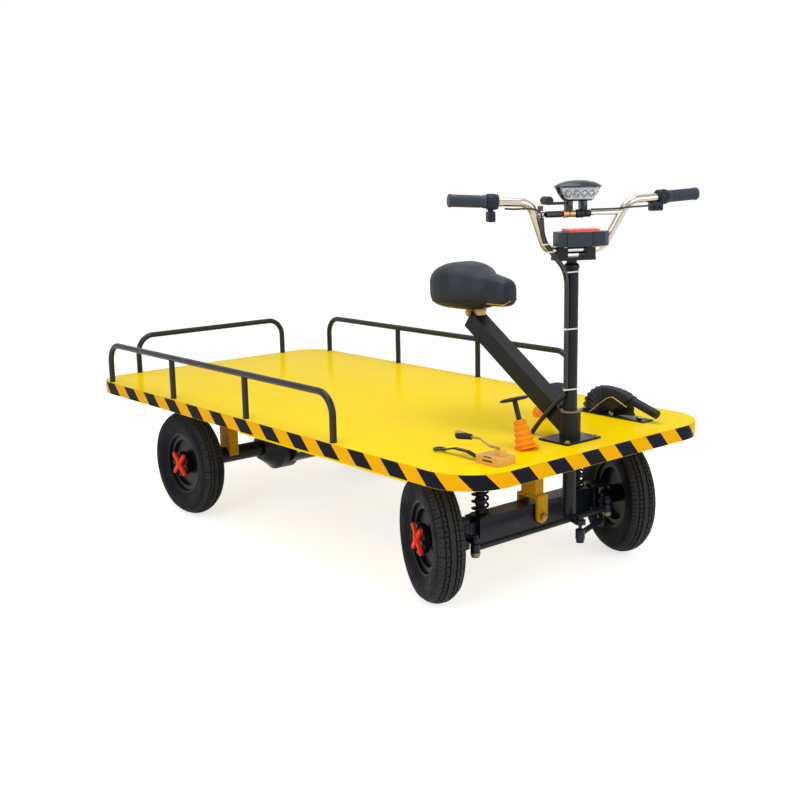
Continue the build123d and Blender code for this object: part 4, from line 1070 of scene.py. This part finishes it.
@dataclass
class DeckTrim:
    """Pedal pads, knob, bolts, the column's seal, the shift box's slots and what hangs under the skirt."""

    column: tuple[float, float] = (839.262, 0.0)
    deck_top: float = 422.5
    pedals: tuple[tuple[float, float, float, float, float], ...] = (
        # foot in X and Y, stem's lean and pad's tilt in degrees, pad's height over the deck
        (833.262, -165.0, -19.0, -16.0, 128.0), (579.262, 174.0, 33.0, 38.0, 88.0),
    )
    pad_size: Point = (26.0, 44.0, 5.6)  # half of its length, width and height
    pad: Outline = (
        # place across the pad and its size there, as shares of the half width and of the full section
        (-1.0, 0.25), (-0.9, 0.62), (-0.7, 0.84), (-0.35, 0.97), (0.0, 1.0), (0.35, 0.97), (0.7, 0.84),
        (0.9, 0.62), (1.0, 0.25),
    )
    knob: Outline = (
        (5.4, -2.0), (7.4, -1.0), (8.4, 12.0), (10.4, 34.0), (11.2, 44.0), (10.4, 49.0), (6.0, 51.2),
        (0.0, 51.8),
    )
    seal: Outline = (
        (19.6, 500.2), (28.0, 500.2), (29.4, 501.4), (29.4, 504.0), (28.0, 505.6), (19.6, 505.6),
    )
    hook: Line = ((245, -488, 381), (246, -490, 372), (252, -490, 368), (258, -490, 373))
    loose: Line = (
        (-2, -486, 381), (-6, -488, 372), (-9, -488, 367), (-14, -486, 372), (-18, -484, 381),
    )

    def pedal(self, x: float, y: float, lean: float, tilt: float, height: float) -> Shape:
        """A round stem with a lens-shaped pad across its top."""
        low = Vector((x, y, self.deck_top))
        top = low + Vector((height * math.tan(math.radians(lean)), 0, height))
        length, width, thick = self.pad_size
        pad = loft([[(u, v * width, w) for u, w in oval(length * k, thick * k ** 0.5, 2.2, 24)]
                    for v, k in self.pad])
        turn = Matrix.Translation(top) @ Matrix.Rotation(math.radians(tilt), 4, "Y")
        return joined([rod(low.lerp(top, 0.05), top, 7, 20), moved(pad, turn)])

    def build(self, shop: Workshop) -> None:
        """Makes each of them."""
        pads = shop.add("pedal_pads", joined(self.pedal(*row) for row in self.pedals), BLACK_PLASTIC, "chassis")
        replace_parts(pads, "pedals")
        x, y = self.column
        up = (0, 0, 1)
        plate_bolts = [(x + u, y + v, 428.5) for u in (-42, 42) for v in (-57, 57)]
        for name, parts, finish in (
            ("shift_knob", [moved(lathe(self.knob, 28), turned_to((-37, 0, -2), (792.5, -328, 475.6)))],
             BLACK_PLASTIC),
            ("base_plate_bolts", [bolt_heads(plate_bolts, up, 12, 6, 9)], BRASS),
            ("column_seal", [moved(lathe(self.seal, 40, closed=True), Matrix.Translation((x, y, 0)))], TAN_CAP),
            ("brake_base_bolts", [bolt_heads([(628, 309, 435), (838, 306, 435)], up, 11, 6, 8)], STEEL),
            ("shift_box_slots", [brick((868, -361.0, 432), (902, -359.6, 436), 0.5),
                                 brick((872, -361.0, 443), (898, -359.6, 446), 0.5)], BLACK_PLASTIC),
            ("skirt_hook", [tube(smooth_path(self.hook, 3), 1.8)], YELLOW),
            ("skirt_wire", [tube(smooth_path(self.loose, 3), 1.4)], PALE_CORE),
        ):
            shop.add(name, joined(parts), finish, "chassis")


@dataclass
class AxleTrim:
    """Coil springs with their caps, and the cups of the tie rod's joints."""

    front_x: float = 691.262
    spring_y: float = 198.0
    coil: tuple[float, float] = (21.8, 3.6)  # radius of the coil and of its wire
    coil_span: tuple[float, float] = (222.8, 352.6)
    turns: float = 6.5
    turn_steps: int = 18
    cap: Outline = (
        (0.0, 362.6), (22.0, 362.6), (24.0, 361.0), (24.0, 354.0), (22.0, 353.0), (0.0, 353.0),
    )
    cup: Outline = (
        (0.0, -0.8), (8.6, -0.8), (10.4, 0.4), (13.4, 8.0), (13.6, 12.0), (12.6, 13.0), (0.0, 13.0),
    )
    joints: Line = ((784, -306, 144), (784, 230, 144))

    def spring(self, side: int) -> Shape:
        """One coil spring between its two seats."""
        (radius, wire), (low, high) = self.coil, self.coil_span
        steps = round(self.turns * self.turn_steps)
        path = []
        for i in range(steps + 1):
            angle = math.tau * self.turns * i / steps
            path.append((self.front_x + radius * math.cos(angle),
                         side * self.spring_y + radius * math.sin(angle),
                         low + (high - low) * i / steps))
        return tube(path, wire)

    def build(self, shop: Workshop) -> None:
        """Makes each of them."""
        coils = shop.add("front_coils", joined(self.spring(side) for side in (-1, 1)), BLACK_PAINT, "chassis")
        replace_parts(coils, "springs")
        seats = [(self.front_x, side * self.spring_y, 0) for side in (-1, 1)]
        for name, profile, steps, places, body in (
            ("spring_caps", self.cap, 32, seats, "chassis"),
            ("tie_rod_caps", self.cup, 28, self.joints, "tie_rod"),
        ):
            caps = joined(moved(lathe(profile, steps), Matrix.Translation(place)) for place in places)
            shop.add(name, caps, TAN_CAP, body)


@dataclass
class TailLead:
    """The lead that drops from the bundle's lower end into the deck."""

    radius: float = 6.5
    points: Line = (
        (845.3, -25.3, 557.0), (833.3, -29.3, 541.0), (811.3, -33.3, 519.0), (779.3, -33.3, 487.0),
        (739.3, -30.3, 445.0), (727.0, -29.5, 428.0),
    )

    def build(self, shop: Workshop) -> None:
        """Makes the lead as one smooth spline."""
        curve = bpy.data.curves.new("tail_lead", "CURVE")
        curve.dimensions = "3D"
        curve.bevel_depth = self.radius * MM
        curve.bevel_resolution = 5
        spline = curve.splines.new("NURBS")
        spline.points.add(len(self.points) - 1)
        for control, point in zip(spline.points, self.points):
            control.co = (*(Vector(point) * MM), 1.0)
        spline.order_u = 3
        spline.use_endpoint_u = True
        spline.resolution_u = 12
        curve.use_fill_caps = True
        lead = bpy.data.objects.new("tail_lead", curve)
        bpy.context.scene.collection.objects.link(lead)
        curve.materials.append(shop.palette.get(CABLE))
        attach(lead, "chassis")
        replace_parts(lead, "cable_tail")


@dataclass
class Studio:
    """Camera, floor, soft lights and a white background."""

    location: Point = (2.9058, -2.3445, 1.1640)
    azimuth: float = 139.8946
    tilt: float = 11.4028
    roll: float = -1.0732
    lens: float = 52.28
    floor_size: float = 40000.0
    floor_lift: float = 0.68
    sky: Colour = (0.86, 0.88, 0.9)
    sky_strength: float = 0.42
    lit: Point = (0.2, 0.0, 0.4)  # the place that the lights face
    lamps: tuple[tuple[str, Point, float, float], ...] = (
        # name, place, size, power
        ("top light", (0.4, -0.3, 3.6), 3.2, 70.0),
        ("side light", (1.2, -3.8, 2.0), 2.6, 44.0),
        ("front light", (4.0, 0.6, 1.9), 2.4, 36.0),
    )

    def build(self, shop: Workshop) -> None:
        """Sets the whole studio."""
        bpy.context.scene.view_settings.view_transform = "Standard"
        self.camera()
        self.floor(shop)
        self.background()
        self.lights()

    def camera(self) -> None:
        """Places the camera at the photo's angle."""
        data = bpy.data.cameras.new("camera")
        data.lens = self.lens
        data.clip_start = 0.05
        camera = bpy.data.objects.new("camera", data)
        bpy.context.scene.collection.objects.link(camera)
        look = (Matrix.Rotation(math.radians(self.azimuth - 90), 4, "Z")
                @ Matrix.Rotation(math.radians(90 - self.tilt), 4, "X")
                @ Matrix.Rotation(math.radians(self.roll), 4, "Z"))
        camera.matrix_world = Matrix.Translation(self.location) @ look
        bpy.context.scene.camera = camera

    def floor(self, shop: Workshop) -> None:
        """Lays the pale floor."""
        bm = bmesh.new()
        bmesh.ops.create_grid(bm, x_segments=1, y_segments=1, size=self.floor_size / 2)
        floor = shop.add("floor", bm, FLOOR, None, smooth=None)
        tree = floor.active_material.node_tree
        shader = tree.nodes["Principled BSDF"]
        shader.inputs["Emission Color"].default_value = (1.0, 1.0, 1.0, 1.0)
        lift = arithmetic(tree, "MULTIPLY", self.seen(tree), self.floor_lift)
        tree.links.new(lift, shader.inputs["Emission Strength"])

    def seen(self, tree: Tree) -> Socket:
        """Is 1 for rays from the camera and for those that metal and glass send on."""
        rays = shader_node(tree, "LightPath")
        total = rays.outputs["Is Camera Ray"]
        for other in ("Is Glossy Ray", "Is Transmission Ray"):
            total = arithmetic(tree, "ADD", total, rays.outputs[other], clamp=True)
        return total

    def background(self) -> None:
        """White where the camera looks past the object, softly grey as a light."""
        world = bpy.data.worlds.new("studio")
        bpy.context.scene.world = world
        world.use_nodes = True
        tree = world.node_tree
        tree.nodes.clear()
        out = shader_node(tree, "OutputWorld")
        light = shader_node(tree, "Background", Color=(*self.sky, 1.0), Strength=self.sky_strength)
        white = shader_node(tree, "Background", Color=(1.0, 1.0, 1.0, 1.0), Strength=1.0)
        mix = shader_node(tree, "MixShader")
        tree.links.new(self.seen(tree), mix.inputs["Fac"])
        tree.links.new(light.outputs[0], mix.inputs[1])
        tree.links.new(white.outputs[0], mix.inputs[2])
        tree.links.new(mix.outputs[0], out.inputs["Surface"])

    def lights(self) -> None:
        """Three large soft lights: above, at the camera's left, and before the cart's front."""
        for name, place, size, power in self.lamps:
            data = bpy.data.lights.new(name, "AREA")
            data.shape = "DISK"
            data.size = size
            data.energy = power
            light = bpy.data.objects.new(name, data)
            bpy.context.scene.collection.objects.link(light)
            aim = Vector(self.lit) - Vector(place)
            light.matrix_world = Matrix.Translation(place) @ aim.to_track_quat("-Z", "Y").to_matrix().to_4x4()


def wheel_places(frame: dict) -> dict[str, Matrix]:
    """Where each wheel's middle is, its outer side along Z, from its spin joint."""
    places = {}
    for wheel in WHEELS:
        joint = next(j for j in frame["joints"] if j["name"] == f"spin_{wheel}")
        outward = Vector(joint["axis"]) * (1 if wheel.endswith("left") else -1)
        places[wheel] = turned_to(outward, Vector(joint["pos_m"]) / MM)
    return places


def main() -> None:
    """Builds the cart's looks in order."""
    logging.basicConfig(level=logging.INFO, format="%(name)s: %(message)s")
    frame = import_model()
    shop = Workshop(frame, Palette())
    wheels = wheel_places(frame)
    steering = SteeringPlace().matrix()
    for part in (
        CarriedNodes(),
        HazardTape(),
        Tyres(wheels),
        Hubs(wheels),
        Saddle(),
        BrakeGaiter(),
        BarControls(steering),
        Lamp(steering),
        SteeringTrim(steering),
        DeckTrim(),
        AxleTrim(),
        TailLead(),
        Studio(),
    ):
        LOG.info("building %s", type(part).__name__)
        part.build(shop)
    LOG.info("%d pieces", shop.count)


if __name__ == "__main__":
    main()
